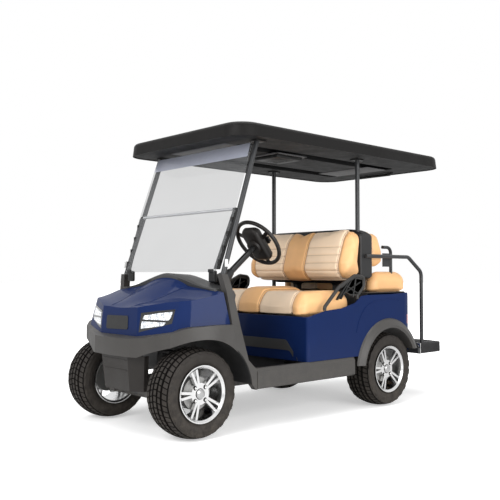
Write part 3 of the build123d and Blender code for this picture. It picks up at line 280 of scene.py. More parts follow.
# ---- wheels and tyres
# Cast alloy rims with machined faces and plated nuts, and low-profile tyres
# moulded with rows of tread blocks that lean into a V and a lugged shoulder.
alloy_silver = skin("alloy_silver", (0.70, 0.70, 0.70), (0.14, 0.26), 0, metal=1.0, drift=0.06, drift_scale=30.0)
nut_plate = skin("nut_plate", (0.78, 0.78, 0.77), (0.10, 0.2), 0, metal=1.0, drift=0.05)
tyre_black = skin("tyre_black", (0.0165, 0.0135, 0.0115), (0.62, 0.82), 900, bump=0.3, dust=0.16, dust_top=0.55,
                  specular=0.3)
# Near black that stands for shade: painted shade in the tread grooves and round the wheel nuts and the cap.
painted_shade_black = skin("painted_shade_black", (0.0035, 0.0030, 0.0027), (0.75, 0.9), 900, bump=0.3, dust=0.04, specular=0.1)
corners = {
    "front_left": (1.080, 0.445, 1), "front_right": (1.080, -0.445, -1),
    "rear_left": (-0.584, 0.495, 1), "rear_right": (-0.584, -0.495, -1),
}
AXLE_Z, TYRE_R, GROOVE_R, SECTORS = 0.260, 0.260, 0.236, 48
NUT_CIRCLE, NUT_Y, SHADE_DISC_Y = 0.0508, 0.0745, 0.0776
TREAD_HALF, CROWN_DROP = 0.092, 0.015
dress(alloy_silver, *("rim_" + corner for corner in corners))


def crown(across):
    return TYRE_R - 0.0004 - CROWN_DROP * (across / TREAD_HALF) ** 2


def cone(mesh, place, sides, radius_from, radius_to, depth):
    """A capped cone or cylinder, added to the mesh."""
    return bmesh.ops.create_cone(mesh, cap_ends=True, segments=sides, radius1=radius_from, radius2=radius_to,
                                 depth=depth, matrix=place)["verts"]


def spun(mesh, steps):
    """Spins the whole section once round the Y axis."""
    bmesh.ops.spin(mesh, geom=mesh.verts[:] + mesh.edges[:], cent=(0, 0, 0), axis=(0, 1, 0), dvec=(0, 0, 0),
                   angle=2 * math.pi, steps=steps, use_merge=True, use_duplicate=False)


def tyre_form():
    """A carcass spun from its section, then blocks raised from its tread and shoulder faces."""
    tyre = bmesh.new()
    edges_y = [0.014, 0.022, 0.046, 0.055, 0.091]
    tread = [(crown(y) - 0.0095, y) for y in [-y for y in reversed(edges_y)] + edges_y]
    wall = [(0.2400, 0.0975), (0.2270, 0.1035), (0.2060, 0.1068), (0.1850, 0.1035), (0.1760, 0.0990), (0.1745, 0.0965),
            (0.1640, 0.0905), (0.1530, 0.0820)]
    section = [(r, -y) for r, y in reversed(wall)] + tread + wall
    ring = [tyre.verts.new((0.0, y, r)) for r, y in section]
    for first, second in zip(ring, ring[1:] + ring[:1]):
        tyre.edges.new((first, second))
    spun(tyre, SECTORS)
    bmesh.ops.recalc_face_normals(tyre, faces=tyre.faces)
    blocks, lugs = [], []
    for face in tyre.faces:
        middle = face.calc_center_median()
        radius = math.hypot(middle.x, middle.z)
        sector = int(round((math.atan2(middle.x, middle.z) / math.pi + 1) * SECTORS / 2 - 0.5))
        side = abs(middle.y)
        if radius > 0.235 and (side < 0.012 or 0.024 < side < 0.044 or 0.057 < side < 0.088):
            blocks.append(face)
        elif 0.225 < radius < 0.246 and side > 0.09 and sector % 2 == 0:
            lugs.append(face)
    # Faces beyond the groove floor are painted near black as painted shade in the grooves. The raised blocks and lugs
    # go back to the tyre's own black.
    for face in tyre.faces:
        if math.hypot(face.calc_center_median().x, face.calc_center_median().z) > GROOVE_R:
            face.material_index = 1
    for raised, border, height in ((blocks, 0.0042, 0.0090), (lugs, 0.0026, 0.0038)):
        bmesh.ops.inset_individual(tyre, faces=raised, thickness=border, depth=height)
        for face in raised:
            face.material_index = 0
    for vert in tyre.verts:
        if math.hypot(vert.co.x, vert.co.z) > GROOVE_R:
            lag = 0.10 * min(abs(vert.co.y), 0.090) / 0.090 - 0.05
            vert.co = Quaternion((0, 1, 0), lag) @ vert.co
            reach = math.hypot(vert.co.x, vert.co.z)
            limit = crown(vert.co.y) if abs(vert.co.y) < TREAD_HALF else reach
            if reach > limit:
                vert.co.x *= limit / reach
                vert.co.z *= limit / reach
    return tyre


def wheel_fittings(side):
    """Four plated nuts on dark discs of painted shade, a domed cap ringed by painted shade, and a valve stem."""
    fittings = bmesh.new()
    turn = Matrix.Rotation(-side * math.pi / 2, 4, "X")
    seats = [(NUT_CIRCLE * math.cos(angle), NUT_CIRCLE * math.sin(angle))
             for angle in (math.radians(45 + 90 * step) for step in range(4))]
    # Thin dark discs under the nuts and round the cap: painted shade on the hub face.
    for x, z, radius in [(x, z, 0.0135) for x, z in seats] + [(0.0, 0.0, 0.0325)]:
        cone(fittings, Matrix.Translation((x, side * SHADE_DISC_Y, z)) @ turn, 28, radius, radius - 0.0008, 0.0028)
    for face in fittings.faces:
        face.material_index = 2
    for x, z in seats:
        place = Matrix.Translation((x, side * NUT_Y, z))
        cone(fittings, place @ turn, 6, 0.0090, 0.0084, 0.020)
        cone(fittings, place @ Matrix.Translation((0, side * 0.0120, 0)) @ turn, 12, 0.0080, 0.0045, 0.004)
    dome = bmesh.new()
    line = [(0.0, 0.0925), (0.012, 0.0918), (0.021, 0.0900), (0.0265, 0.0868), (0.0285, 0.0842)]
    points = [dome.verts.new((r, side * y, 0)) for r, y in line]
    for first, second in zip(points, points[1:]):
        dome.edges.new((first, second))
    spun(dome, 36)
    bmesh.ops.remove_doubles(dome, verts=dome.verts, dist=0.0002)
    for face in dome.faces:
        face.material_index = 1
    holder = bpy.data.meshes.new("cap_dome")
    dome.to_mesh(holder)
    dome.free()
    fittings.from_mesh(holder)
    bpy.data.meshes.remove(holder)
    cone(fittings, Matrix.Translation((0.128, side * 0.052, 0.0)) @ turn, 12, 0.0052, 0.0040, 0.030)
    bmesh.ops.recalc_face_normals(fittings, faces=fittings.faces)
    return fittings


cap_silver = skin("cap_silver", (0.42, 0.42, 0.42), (0.2, 0.3), 0, metal=0.9, drift=0.1, drift_scale=40.0)
for corner, (axle_x, wheel_y, side) in corners.items():
    to_axle = Matrix.Translation((axle_x, wheel_y, AXLE_Z))
    tread = tyre_form()
    bmesh.ops.transform(tread, matrix=to_axle, verts=tread.verts)
    rubber = piece("tread_" + corner, tread, [tyre_black, painted_shade_black], "wheel_" + corner, smooth=False)
    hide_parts("tyre_" + corner)
    fittings = wheel_fittings(side)
    bmesh.ops.transform(fittings, matrix=to_axle, verts=fittings.verts)
    piece("wheel_nuts_" + corner, fittings, [nut_plate, cap_silver, painted_shade_black], "wheel_" + corner,
          smooth=False)

# ---- floor, sills and fascia
# Charcoal mouldings with a fine pebble: fascia, pillar covers, rear flares and
# the floor pan with its sills. The chin is painted darker, as painted shade,
# and the mat is ribbed rubber.
dress(skin("charcoal_moulding", (0.034, 0.0315, 0.029), (0.36, 0.50), 1100, bump=0.35, dust=0.14, dust_top=0.5),
      "floor_pan", "front_fascia", "pillar_covers", "rear_flares")
# The chin and its ribs: a darker copy of the charcoal moulding, painted shade.
chin_shaded = skin("chin_moulding_shaded", (0.0155, 0.0130, 0.0115), (0.36, 0.5), 1100, bump=0.3, dust=0.04, specular=0.3)
dress(chin_shaded, "chin_cowl")
dash_black = skin("dash_moulding", (0.030, 0.030, 0.031), (0.42, 0.55), 1100, bump=0.35)
black_moulding = skin("black_moulding", (0.012, 0.012, 0.0125), (0.38, 0.55), 900, specular=0.4)
dress(black_moulding, "arch_liners", "seat_deck", "back_shell", "step_tread", "pedals")
mat_rubber = skin("mat_rubber", (0.018, 0.018, 0.019), (0.55, 0.7), 600)
dress(mat_rubber, "floor_mat")
dress(skin("battery_case", (0.04, 0.04, 0.045), (0.5, 0.65), 500), "battery_pack")
dress(skin("cable_sheath", (0.02, 0.02, 0.02), (0.4, 0.5), 260), "brake_cables")


def block(mesh, middle, size, bevel=0.0):
    """A box with rounded edges, added to the mesh."""
    matrix = Matrix.Translation(middle) @ Matrix.Diagonal((*size, 1.0))
    made = bmesh.ops.create_cube(mesh, size=1.0, matrix=matrix)["verts"]
    if bevel:
        edges = list({edge for vert in made for edge in vert.link_edges})
        bmesh.ops.bevel(mesh, geom=edges, offset=bevel, segments=2, profile=0.5, affect="EDGES", material=-1)


def rod(mesh, start, end, radius, sides=16):
    """A round rod from one point to another, added to the mesh."""
    start, end = Vector(start), Vector(end)
    turn = (end - start).to_track_quat("Z", "Y").to_matrix().to_4x4()
    cone(mesh, Matrix.Translation((start + end) / 2) @ turn, sides, radius, radius, (end - start).length)


def surface_of(*nodes):
    """The nodes' faces as one tree that a panel can be laid on."""
    shell = bmesh.new()
    for node in nodes:
        shell.from_mesh(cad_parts[node].data)
    tree = BVHTree.FromBMesh(shell)
    shell.free()
    return tree


SETTLE_FROM, SETTLE_REACH, SETTLE_ASIDE = 0.3, 0.8, 0.004


def settle(mesh, towards, tree, lift):
    """Moves each point along a direction until it stands just off the surface."""
    aside = towards.orthogonal() * SETTLE_ASIDE
    lost = []
    for vert in mesh.verts:
        start = vert.co - towards * SETTLE_FROM
        for shift in (Vector(), aside, -aside, towards.cross(aside), aside.cross(towards)):
            hit = tree.ray_cast(start + shift, towards, SETTLE_REACH)[0]
            if hit:
                vert.co = start + towards * (towards.dot(hit - start) - lift)
                break
        else:
            lost.append(vert)
    bmesh.ops.delete(mesh, geom=lost, context="VERTS")


def thickened(sheet, towards, tree, lift, thick):
    """Settles an open sheet on a surface, faces it outward and gives it its thickness."""
    settle(sheet, towards, tree, lift)
    sheet.normal_update()
    if sum((face.normal for face in sheet.faces), Vector()).dot(towards) > 0:
        bmesh.ops.reverse_faces(sheet, faces=sheet.faces[:])
    bmesh.ops.solidify(sheet, geom=sheet.faces[:], thickness=thick)
    bmesh.ops.recalc_face_normals(sheet, faces=sheet.faces)
    return sheet


def laid_panel(outline, towards, tree, lift, thick, corner):
    """A thin plate with the given outline, pushed onto a surface so that it follows its curve."""
    plate = bmesh.new()
    face = plate.faces.new([plate.verts.new(point) for point in outline])
    bmesh.ops.bevel(plate, geom=face.verts[:], offset=corner, segments=4, profile=0.5, affect="VERTICES", material=-1)
    bmesh.ops.triangulate(plate, faces=plate.faces[:])
    bmesh.ops.subdivide_edges(plate, edges=plate.edges[:], cuts=2, use_grid_fill=True)
    return thickened(plate, Vector(towards).normalized(), tree, lift, thick)


def laid_strip(line, towards, tree, width, lift, thick):
    """A narrow raised strip along a line on a surface."""
    strip = bmesh.new()
    towards = Vector(towards).normalized()
    points = [Vector(point) for point in line]
    left, right = [], []
    for index, point in enumerate(points):
        ahead = (points[min(index + 1, len(points) - 1)] - points[max(index - 1, 0)]).normalized()
        aside = ahead.cross(towards).normalized() * (width / 2)
        left.append(strip.verts.new(point + aside))
        right.append(strip.verts.new(point - aside))
    for index in range(len(points) - 1):
        strip.faces.new((left[index], left[index + 1], right[index + 1], right[index]))
    return thickened(strip, towards, tree, lift, thick)


def smooth_line(points, steps=8):
    """Catmull-Rom points through a few marks, for a trim line that bends softly."""
    marks = [Vector(point) for point in points]
    marks = [2 * marks[0] - marks[1]] + marks + [2 * marks[-1] - marks[-2]]
    line = []
    for before, first, second, after in zip(marks, marks[1:], marks[2:], marks[3:]):
        for step in range(steps):
            t = step / steps
            line.append(0.5 * (2 * first + (second - before) * t + (2 * before - 5 * first + 4 * second - after) * t * t
                               + (3 * first - before - 3 * second + after) * t ** 3))
    return line + [marks[-2]]


def ends_of(node):
    """The low and the high corner of a piece's box."""
    return [Vector(corner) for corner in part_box(node)]


# Ribs across the floor mat.
MAT_RIBS, MAT_EDGE = 19, 0.035
mat_low, mat_high = ends_of("floor_mat")
ribs = bmesh.new()
for index in range(MAT_RIBS):
    x = mat_low.x + MAT_EDGE + index * (mat_high.x - mat_low.x - 2 * MAT_EDGE) / (MAT_RIBS - 1)
    block(ribs, (x, 0, mat_high.z + 0.001), (0.009, mat_high.y - mat_low.y - 0.06, 0.003), bevel=0.001)
piece("mat_ribs", ribs, mat_rubber)

# ---- dash
# One hollow moulding behind the hood: its top falls away to both sides with the
# hood's back edge, and its rear corners are drawn forward. A boot seals the column.


def joined_mesh(node):
    """A node's mesh with its points joined, to be given a new form."""
    mesh = bmesh.new()
    mesh.from_mesh(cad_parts[node].data)
    bmesh.ops.remove_doubles(mesh, verts=mesh.verts, dist=0.0001)
    return mesh


dash_cover = joined_mesh("dash")
dash_low, dash_high = ends_of("dash")
for cut_axis, step in ((1, 0.040), (2, 0.030)):
    at = dash_low[cut_axis] + step
    while at < dash_high[cut_axis]:
        cut_at, cut_normal = Vector((0.8, 0, 0.8)), Vector()
        cut_at[cut_axis], cut_normal[cut_axis] = at, 1.0
        bmesh.ops.bisect_plane(dash_cover, geom=dash_cover.verts[:] + dash_cover.edges[:] + dash_cover.faces[:],
                               plane_co=cut_at, plane_no=cut_normal, dist=0.00005)
        at += step
DASH_LEVEL_Z, DASH_FALL = 0.745, 0.093
DASH_FRONT_X, CORNER_FROM, CORNER_DRAW = 0.860, 0.66, 0.100
for vert in dash_cover.verts:
    side = min(abs(vert.co.y) / dash_high.y, 1.0)
    risen = max(0.0, (vert.co.z - DASH_LEVEL_Z) / (dash_high.z - DASH_LEVEL_Z))
    vert.co.z -= risen * DASH_FALL * (side * side * (3 - 2 * side)) ** 0.85
    rearward = max(0.0, min(1.0, (DASH_FRONT_X - vert.co.x) / (DASH_FRONT_X - dash_low.x)))
    vert.co.x += rearward * CORNER_DRAW * max(0.0, (side - CORNER_FROM) / (1 - CORNER_FROM)) ** 2
piece_dash = piece("dash_cover", dash_cover, dash_black)
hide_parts("dash")
column_in = Vector((0.7815, 0.0, -0.6239))
boot = bmesh.new()
column_at = Vector((0.422, 0.300, 1.138))
for start, end, radius_from, radius_to in ((0.300, 0.345, 0.024, 0.036), (0.345, 0.365, 0.036, 0.040),
                                           (0.365, 0.430, 0.046, 0.066)):
    middle = column_at + column_in * (start + end) / 2
    cone(boot, Matrix.Translation(middle) @ column_in.to_track_quat("Z", "Y").to_matrix().to_4x4(), 28, radius_from,
         radius_to, end - start)
piece("column_boot", boot, black_moulding, smooth=False)

# ---- painted body
# Moulded hood and rear body in navy paint under clear lacquer. The nose plate,
# the ridges, the body lines and the kick plate are laid onto their surfaces.
navy = skin("navy_paint", (0.0045, 0.0150, 0.070), (0.42, 0.50), 0, coat=0.16, coat_rough=0.04, drift=0.05,
            specular=0.05)
dress(navy, "hood", "rear_body")
hood_tree = surface_of("hood", "headlights")
body_tree = surface_of("rear_body")

# The nose: a bare black plate where carts of this kind carry a badge.
nose_plate = laid_panel([(1.40, -0.135, 0.686), (1.40, 0.096, 0.690), (1.40, 0.100, 0.610), (1.40, -0.135, 0.604)],
                        (-1, 0, 0), hood_tree, 0.0035, 0.003, corner=0.012)
piece("nose_plate", nose_plate, black_moulding)

SIDES = ((1, "left"), (-1, "right"))

# Two soft ridges run up the hood, and two ribs cross the chin.
for side, name in SIDES:
    ridge = smooth_line([(x, side * y, 1.1) for x, y in (
        (1.255, 0.122), (1.181, 0.147), (1.100, 0.175), (1.000, 0.208), (0.900, 0.242))])
    piece("hood_ridge_" + name, laid_strip(ridge, (0, 0, -1), hood_tree, 0.011, 0.0016, 0.004), navy)
chin_tree = surface_of("chin_cowl")
for z in (0.372, 0.432):
    rib = laid_strip([(1.5, -0.150 + index * 0.025, z) for index in range(13)], (-1, 0, 0), chin_tree, 0.006, 0.002,
                     0.004)
    piece("chin_rib_" + str(round(z * 1000)), rib, chin_shaded)

# A raised line sweeps over each rear wheel, and a black kick plate covers the seat base.
for side, name in SIDES:
    sweep = smooth_line([(x, side * 0.70, z) for x, z in (
        (-0.225, 0.535), (-0.247, 0.600), (-0.285, 0.662), (-0.340, 0.712), (-0.420, 0.742), (-0.520, 0.754),
        (-0.640, 0.757), (-0.740, 0.750))])
    piece("body_line_" + name, laid_strip(sweep, (0, -side, 0), body_tree, 0.007, 0.0022, 0.004), navy)
kick = laid_panel([(0.5, -0.40, 0.508), (0.5, 0.40, 0.508), (0.5, 0.500, 0.390), (0.5, 0.500, 0.302),
                   (0.5, -0.500, 0.302), (0.5, -0.500, 0.390)], (-1, 0, 0), body_tree, 0.003, 0.0025, corner=0.015)
piece("kick_plate", kick, dash_black)

# ---- lamps
# Head lamps: a black glossy bezel with two lenses let into it, whose bright
# cells are in their finish and glow faintly as a painted reflection of the
# reflector, under a thin brow. Tail lamps are red mouldings.


def lamp_lens():
    """Clear white lens with the cells of its reflector showing through, the bright cells glowing faintly as a painted
    reflection.
    """
    material, tree = empty_material("lamp_cells")
    place = add_node(tree, "TexCoord")["Object"]
    cells = add_node(tree, "TexVoronoi", {"Vector": place, "Scale": 62.0, "Randomness": 0.35})["Distance"]
    ramp = tree.nodes.new("ShaderNodeValToRGB")
    for stop, (position, colour) in zip(ramp.color_ramp.elements, ((0.25, (0.93, 0.95, 0.97, 1.0)),
                                                                   (0.72, (0.24, 0.26, 0.29, 1.0)))):
        stop.position, stop.color = position, colour
    tree.links.new(cells, ramp.inputs["Fac"])
    seen = ramp.outputs["Color"]
    # The emission is painted light: the bright cells glow as a painted reflection of the reflector.
    principled(tree, {"Base Color": seen, "Emission Color": seen, "Emission Strength": 0.35, "Coat Weight": 1.0,
                      "Roughness": rough_range(tree, cells, 0.08, 0.2), "Normal": bumped(tree, cells, 0.5, 0.002)})
    return material


bezel_black = skin("bezel_black", (0.010, 0.010, 0.011), (0.12, 0.2), 0, coat=0.6, drift=0.2, specular=0.4)
dress(bezel_black, "headlights")
lens_cells = lamp_lens()
for side, name in SIDES:
    origin = Vector((1.239, side * 0.316, 0.680))
    out = Vector((0.949, side * 0.314, 0))
    along_lamp = Vector((-0.314, side * 0.949, 0))

    def on_lamp(u, v):
        return origin + out * 0.12 + along_lamp * u + Vector((0, 0, v))

    upper = [(-0.092, -0.006), (-0.083, 0.016), (0.020, 0.032), (0.110, 0.042), (0.104, 0.012), (0.088, -0.008)]
    lower = [(-0.102, -0.060), (-0.098, -0.018), (0.075, -0.019), (0.055, -0.038)]
    for part, outline in (("upper", upper), ("lower", lower)):
        plate = laid_panel([on_lamp(u, v) for u, v in outline], -out, hood_tree, 0.0022, 0.002, corner=0.004)
        piece("lamp_lens_" + part + "_" + name, plate, lens_cells)
    rim_line = [on_lamp(u, v) for u, v in ((-0.104, 0.026), (0.0, 0.040), (0.118, 0.052))]
    piece("lamp_brow_" + name, laid_strip(smooth_line(rim_line), -out, hood_tree, 0.006, 0.003, 0.004), bezel_black)

dress(skin("lamp_red", (0.42, 0.010, 0.010), (0.12, 0.2), 120, bump=0.2, coat=1.0), "tail_lights")

# ---- windscreen
# Two clear acrylic panes that fold at the middle, held to the struts by black
# rails and clips, under a top band.


def clear_plastic(name, tint, rough, see):
    """Clear sheet: the light goes straight through a tinted film with a glossy face."""
    material, tree = empty_material(name)
    tinted = use_group(tree, mottle, Colour=(*tint, 1.0), Scale=3.0, Amount=0.12)
    principled(tree, {"Base Color": tinted["Colour"], "Roughness": rough_range(tree, tinted["Drift"], *rough),
                      "Alpha": see, "IOR": 1.49})
    return material


acrylic = clear_plastic("acrylic", (0.20, 0.205, 0.21), (0.03, 0.09), 0.24)
dress(acrylic, "windscreen_lower", "windscreen_upper")


def band(tree, value, middle, half, soft):
    """One inside the band, nothing outside it, with a soft edge."""
    away = calc(tree, "ABSOLUTE", calc(tree, "SUBTRACT", value, middle))
    return ranged(tree, away, calc(tree, "ADD", half, -soft), calc(tree, "ADD", half, soft), 1.0, 0.0)


# Screen rails: black, but clear plastic along the fold between the panes.
rail_plastic = skin("rail_plastic", (0.012, 0.012, 0.012), (0.35, 0.5), 700, specular=0.3)
rail_tree = rail_plastic.node_tree
rail_shader = next(node for node in rail_tree.nodes if node.type == "BSDF_PRINCIPLED")
rail_split = add_node(rail_tree, "SeparateXYZ", {0: add_node(rail_tree, "TexCoord")["Object"]})
FOLD_Z, FOLD_REACH = 1.328, 0.472
fold = calc(rail_tree, "MULTIPLY", band(rail_tree, rail_split["Z"], FOLD_Z, 0.012, 0.001),
            calc(rail_tree, "LESS_THAN", calc(rail_tree, "ABSOLUTE", rail_split["Y"]), FOLD_REACH))
rail_mix = add_node(rail_tree, "Mix", {"Factor": fold, "A": rail_shader.inputs["Base Color"].links[0].from_socket,
                                       "B": (0.60, 0.61, 0.63, 1.0)}, data_type="RGBA")
rail_tree.links.new(rail_mix["Result"], rail_shader.inputs["Base Color"])
dress(rail_plastic, "screen_rails")

screen_foot, screen_head = Vector((0.928, 0, 0.949)), Vector((0.652, 0, 1.744))
screen_up = (screen_head - screen_foot).normalized()
screen_out = Vector((screen_up.z, 0, -screen_up.x))


def on_screen(y, run, off=0.0):
    return screen_foot + screen_up * run + screen_out * off + Vector((0, y, 0))


def screen_plate(mesh, corners, off, thick):
    face = mesh.faces.new([mesh.verts.new(on_screen(y, run, off)) for y, run in corners])
    face.normal_update()
    if face.normal.dot(screen_out) > 0:
        face.normal_flip()
    grown = bmesh.ops.extrude_face_region(mesh, geom=[face])["geom"]
    bmesh.ops.translate(mesh, verts=[v for v in grown if isinstance(v, bmesh.types.BMVert)], vec=screen_out * thick)


edging = bmesh.new()
for side in (1, -1):
    screen_plate(edging, [(side * 0.462, 0.020), (side * 0.492, 0.020), (side * 0.5085, 0.394), (side * 0.490, 0.394)],
                 -0.0145, 0.010)
    for run in (0.060, 0.150, 0.240, 0.330):
        block(edging, on_screen(side * (0.480 + run * 0.035), run, -0.001), (0.012, 0.014, 0.030), bevel=0.002)
    block(edging, (0.914, side * 0.432, 0.922), (0.030, 0.052, 0.070), bevel=0.008)
    block(edging, (0.930, side * 0.432, 0.955), (0.014, 0.040, 0.020), bevel=0.003)
bmesh.ops.recalc_face_normals(edging, faces=edging.faces)
clip_black = skin("clip_black", (0.008, 0.008, 0.008), (0.35, 0.5), 700, specular=0.3)
piece("screen_edging", edging, clip_black, smooth=False)
latches = bmesh.new()
for side in (1, -1):
    block(latches, (0.893, side * 0.531, 1.000), (0.020, 0.012, 0.046), bevel=0.004)
    rod(latches, (0.893, side * 0.527, 0.985), (0.893, side * 0.545, 0.985), 0.008, sides=14)
latch_white = skin("latch_nylon", (0.72, 0.72, 0.71), (0.3, 0.45), 400)
piece("screen_latches", latches, latch_white)
top_band = bmesh.new()
screen_plate(top_band, [(-0.486, 0.745), (0.486, 0.745), (0.480, 0.836), (-0.480, 0.836)], 0.003, 0.0012)
band_film = clear_plastic("band_film", (0.42, 0.44, 0.52), (0.05, 0.12), 0.72)
piece("screen_band", top_band, band_film, smooth=False)

# ---- tubes, struts, rails
# Round steel tube, powder coated in dark grey: the struts that carry the canopy,
# the rear armrests, the handrails and the frame of the step.
dress(skin("tube_powder", (0.026, 0.027, 0.029), (0.30, 0.42), 500, bump=0.15, specular=0.35),
      "front_struts", "rear_struts", "rear_armrests", "handrails", "step_frame")

# ---- steering wheel
# A foam-rimmed wheel: the hub and two spokes sit under one wide moulded pad
# that carries a paper clip on its top.
wheel_centre = Vector((0.422, 0.300, 1.138))
wheel_up = Vector((-0.7815, 0.0, 0.6239))
wheel_turn = Matrix.Translation(wheel_centre) @ wheel_up.to_track_quat("Z", "Y").to_matrix().to_4x4()
PAD_LONG, PAD_WIDE, PAD_TALL = 0.190, 0.250, 0.076
pad = bmesh.new()
bmesh.ops.create_cube(pad, size=1.0, matrix=Matrix.Diagonal((PAD_LONG, PAD_WIDE, PAD_TALL, 1.0)))
bmesh.ops.bevel(pad, geom=pad.edges[:], offset=0.034, segments=6, profile=0.5, affect="EDGES", material=-1)
for vert in pad.verts:
    across_pad = abs(vert.co.y) / (PAD_WIDE / 2)
    vert.co.x *= 1.0 - 0.42 * across_pad ** 2
    vert.co.z *= 1.0 - 0.30 * across_pad ** 2
    vert.co.z -= 0.010
bmesh.ops.transform(pad, matrix=wheel_turn, verts=pad.verts)
wheel_foam = skin("wheel_foam", (0.011, 0.009, 0.0078), (0.38, 0.5), 800, bump=0.4, specular=0.35)
dress(wheel_foam, "steering_wheel")
dress(skin("column_gloss", (0.012, 0.012, 0.012), (0.12, 0.22), 200, bump=0.05), "steering_column")
piece("wheel_pad", pad, wheel_foam, "steering_wheel")
holder_clip = bmesh.new()
block(holder_clip, (-0.052, 0.0, 0.036), (0.030, 0.062, 0.006), bevel=0.0015)
block(holder_clip, (-0.070, 0.0, 0.040), (0.010, 0.040, 0.012), bevel=0.002)
rod(holder_clip, (-0.040, -0.034, 0.037), (-0.040, 0.034, 0.037), 0.0035, sides=10)
bmesh.ops.transform(holder_clip, matrix=wheel_turn, verts=holder_clip.verts)
piece("paper_clip", holder_clip, clip_black, "steering_wheel")

# ---- armrests, step and rails
# Front armrests are tube loops filled by a ribbed moulding; the rear step is a
# ribbed plastic tread with a ribbed cap and a steel bracket at each end.
dress(skin("arm_moulding", (0.022, 0.021, 0.020), (0.4, 0.55), 1100, bump=0.35, specular=0.35), "front_armrests")
for side, name in SIDES:
    infill = bmesh.new()
    for face_y in (0.5922, 0.5818):
        web = infill.faces.new([infill.verts.new((x, side * face_y, z)) for x, z in (
            (-0.062, 0.838), (-0.208, 0.905), (-0.286, 0.895), (-0.288, 0.853), (-0.232, 0.800), (-0.160, 0.800))])
        bmesh.ops.solidify(infill, geom=[web], thickness=0.0015)
        for start, end in (((-0.075, 0.800), (-0.262, 0.880)), ((-0.115, 0.857), (-0.245, 0.800)),
                           ((-0.060, 0.770), (-0.175, 0.900)), ((-0.185, 0.780), (-0.215, 0.905)),
                           ((-0.025, 0.765), (-0.130, 0.875))):
            rod(infill, (start[0], side * face_y, start[1]), (end[0], side * face_y, end[1]), 0.0055, sides=8)
    piece("armrest_ribs_" + name, infill, clip_black)

treads = bmesh.new()
step_low, step_high = ends_of("step_tread")
TREAD_RIBS, TREAD_EDGE, CAP_RIBS = 14, 0.022, 16
for index in range(TREAD_RIBS):
    x = step_low.x + TREAD_EDGE + index * (step_high.x - step_low.x - 2 * TREAD_EDGE) / (TREAD_RIBS - 1)
    block(treads, (x, 0, step_high.z + 0.001), (0.008, step_high.y - step_low.y - 0.05, 0.004), bevel=0.0012)
for index in range(5):
    z = step_low.z + 0.0055 + index * 0.0065
    for end_y in (step_low.y, step_high.y):
        block(treads, ((step_low.x + step_high.x) / 2, end_y, z), (step_high.x - step_low.x - 0.03, 0.003, 0.003))
piece("step_ribs", treads, black_moulding)
step_ends = bmesh.new()
for side in (1, -1):
    block(step_ends, (-1.2125, side * 0.5045, 0.3655), (0.261, 0.037, 0.079), bevel=0.005)
    for index in range(CAP_RIBS):
        x = -1.330 + index * 0.0157
        block(step_ends, (x, side * 0.5235, 0.3655), (0.006, 0.003, 0.066), bevel=0.001)
        block(step_ends, (x, side * 0.5045, 0.4055), (0.006, 0.030, 0.003), bevel=0.001)
piece("step_end_caps", step_ends, black_moulding)
brackets = bmesh.new()
for side in (1, -1):
    block(brackets, (-1.076, side * 0.506, 0.366), (0.008, 0.034, 0.082), bevel=0.001)
    rod(brackets, (-1.084, side * 0.506, 0.385), (-1.068, side * 0.506, 0.385), 0.0055, sides=6)
piece("step_brackets", brackets, nut_plate)

# ---- canopy
# A moulded roof with a pebbled skin. Under it are the liner, a hand hold at the
# rear, a small console in a grey surround, two grey panels and the struts' fixings.
dress(skin("canopy_black", (0.0052, 0.0047, 0.0045), (0.42, 0.58), 330, bump=0.8, drift=0.1, specular=0.14), "canopy")
dress(skin("liner_grey", (0.0075, 0.0075, 0.0078), (0.55, 0.7), 700, specular=0.2), "canopy_liner")
roof_low, roof_high = ends_of("canopy")
LINER_Z = 1.757
hold = bmesh.new()
for side in (1, -1):
    block(hold, (roof_low.x + 0.10, side * 0.17, LINER_Z), (0.030, 0.040, 0.022), bevel=0.006)
rod(hold, (roof_low.x + 0.10, -0.17, 1.748), (roof_low.x + 0.10, 0.17, 1.748), 0.011)
piece("hand_hold", hold, clip_black)
console = bmesh.new()
block(console, (0.070, 0.135, 1.7455), (0.250, 0.230, 0.030), bevel=0.010)
for index in range(5):
    block(console, (0.010 + index * 0.030, 0.135, 1.7305), (0.010, 0.170, 0.003), bevel=0.001)
piece("roof_console", console, clip_black)
console_frame = bmesh.new()
for x, y, long, wide in ((0.070, 0.262, 0.300, 0.022), (0.070, 0.008, 0.300, 0.022), (0.209, 0.135, 0.022, 0.276),
                         (-0.069, 0.135, 0.022, 0.276)):
    block(console_frame, (x, y, LINER_Z), (long, wide, 0.010), bevel=0.004)
for x, y, long, wide in ((0.600, 0.0, 0.190, 0.560), (-0.900, 0.0, 0.240, 0.500)):
    block(console_frame, (x, y, 1.7605), (long, wide, 0.005), bevel=0.002)
panel_grey = skin("panel_grey", (0.075, 0.075, 0.078), (0.5, 0.65), 700)
piece("roof_panels", console_frame, panel_grey)
fixings = bmesh.new()
for x, y in ((0.600, 0.494), (-0.441, 0.428)):
    for side in (1, -1):
        rod(fixings, (x, side * y, roof_high.z - 0.004), (x, side * y, roof_high.z - 0.0005), 0.012, sides=18)
        block(fixings, (x, side * y, LINER_Z), (0.085, 0.060, 0.008), bevel=0.002)
piece("roof_fixings", fixings, clip_black)

# ---- upholstery
# Foam cushions and backs under sewn vinyl: pale channelled seat panels between
# tan bolsters and a tan centre, top-stitched along each seam. A black moulded
# shell stands between the two backs.

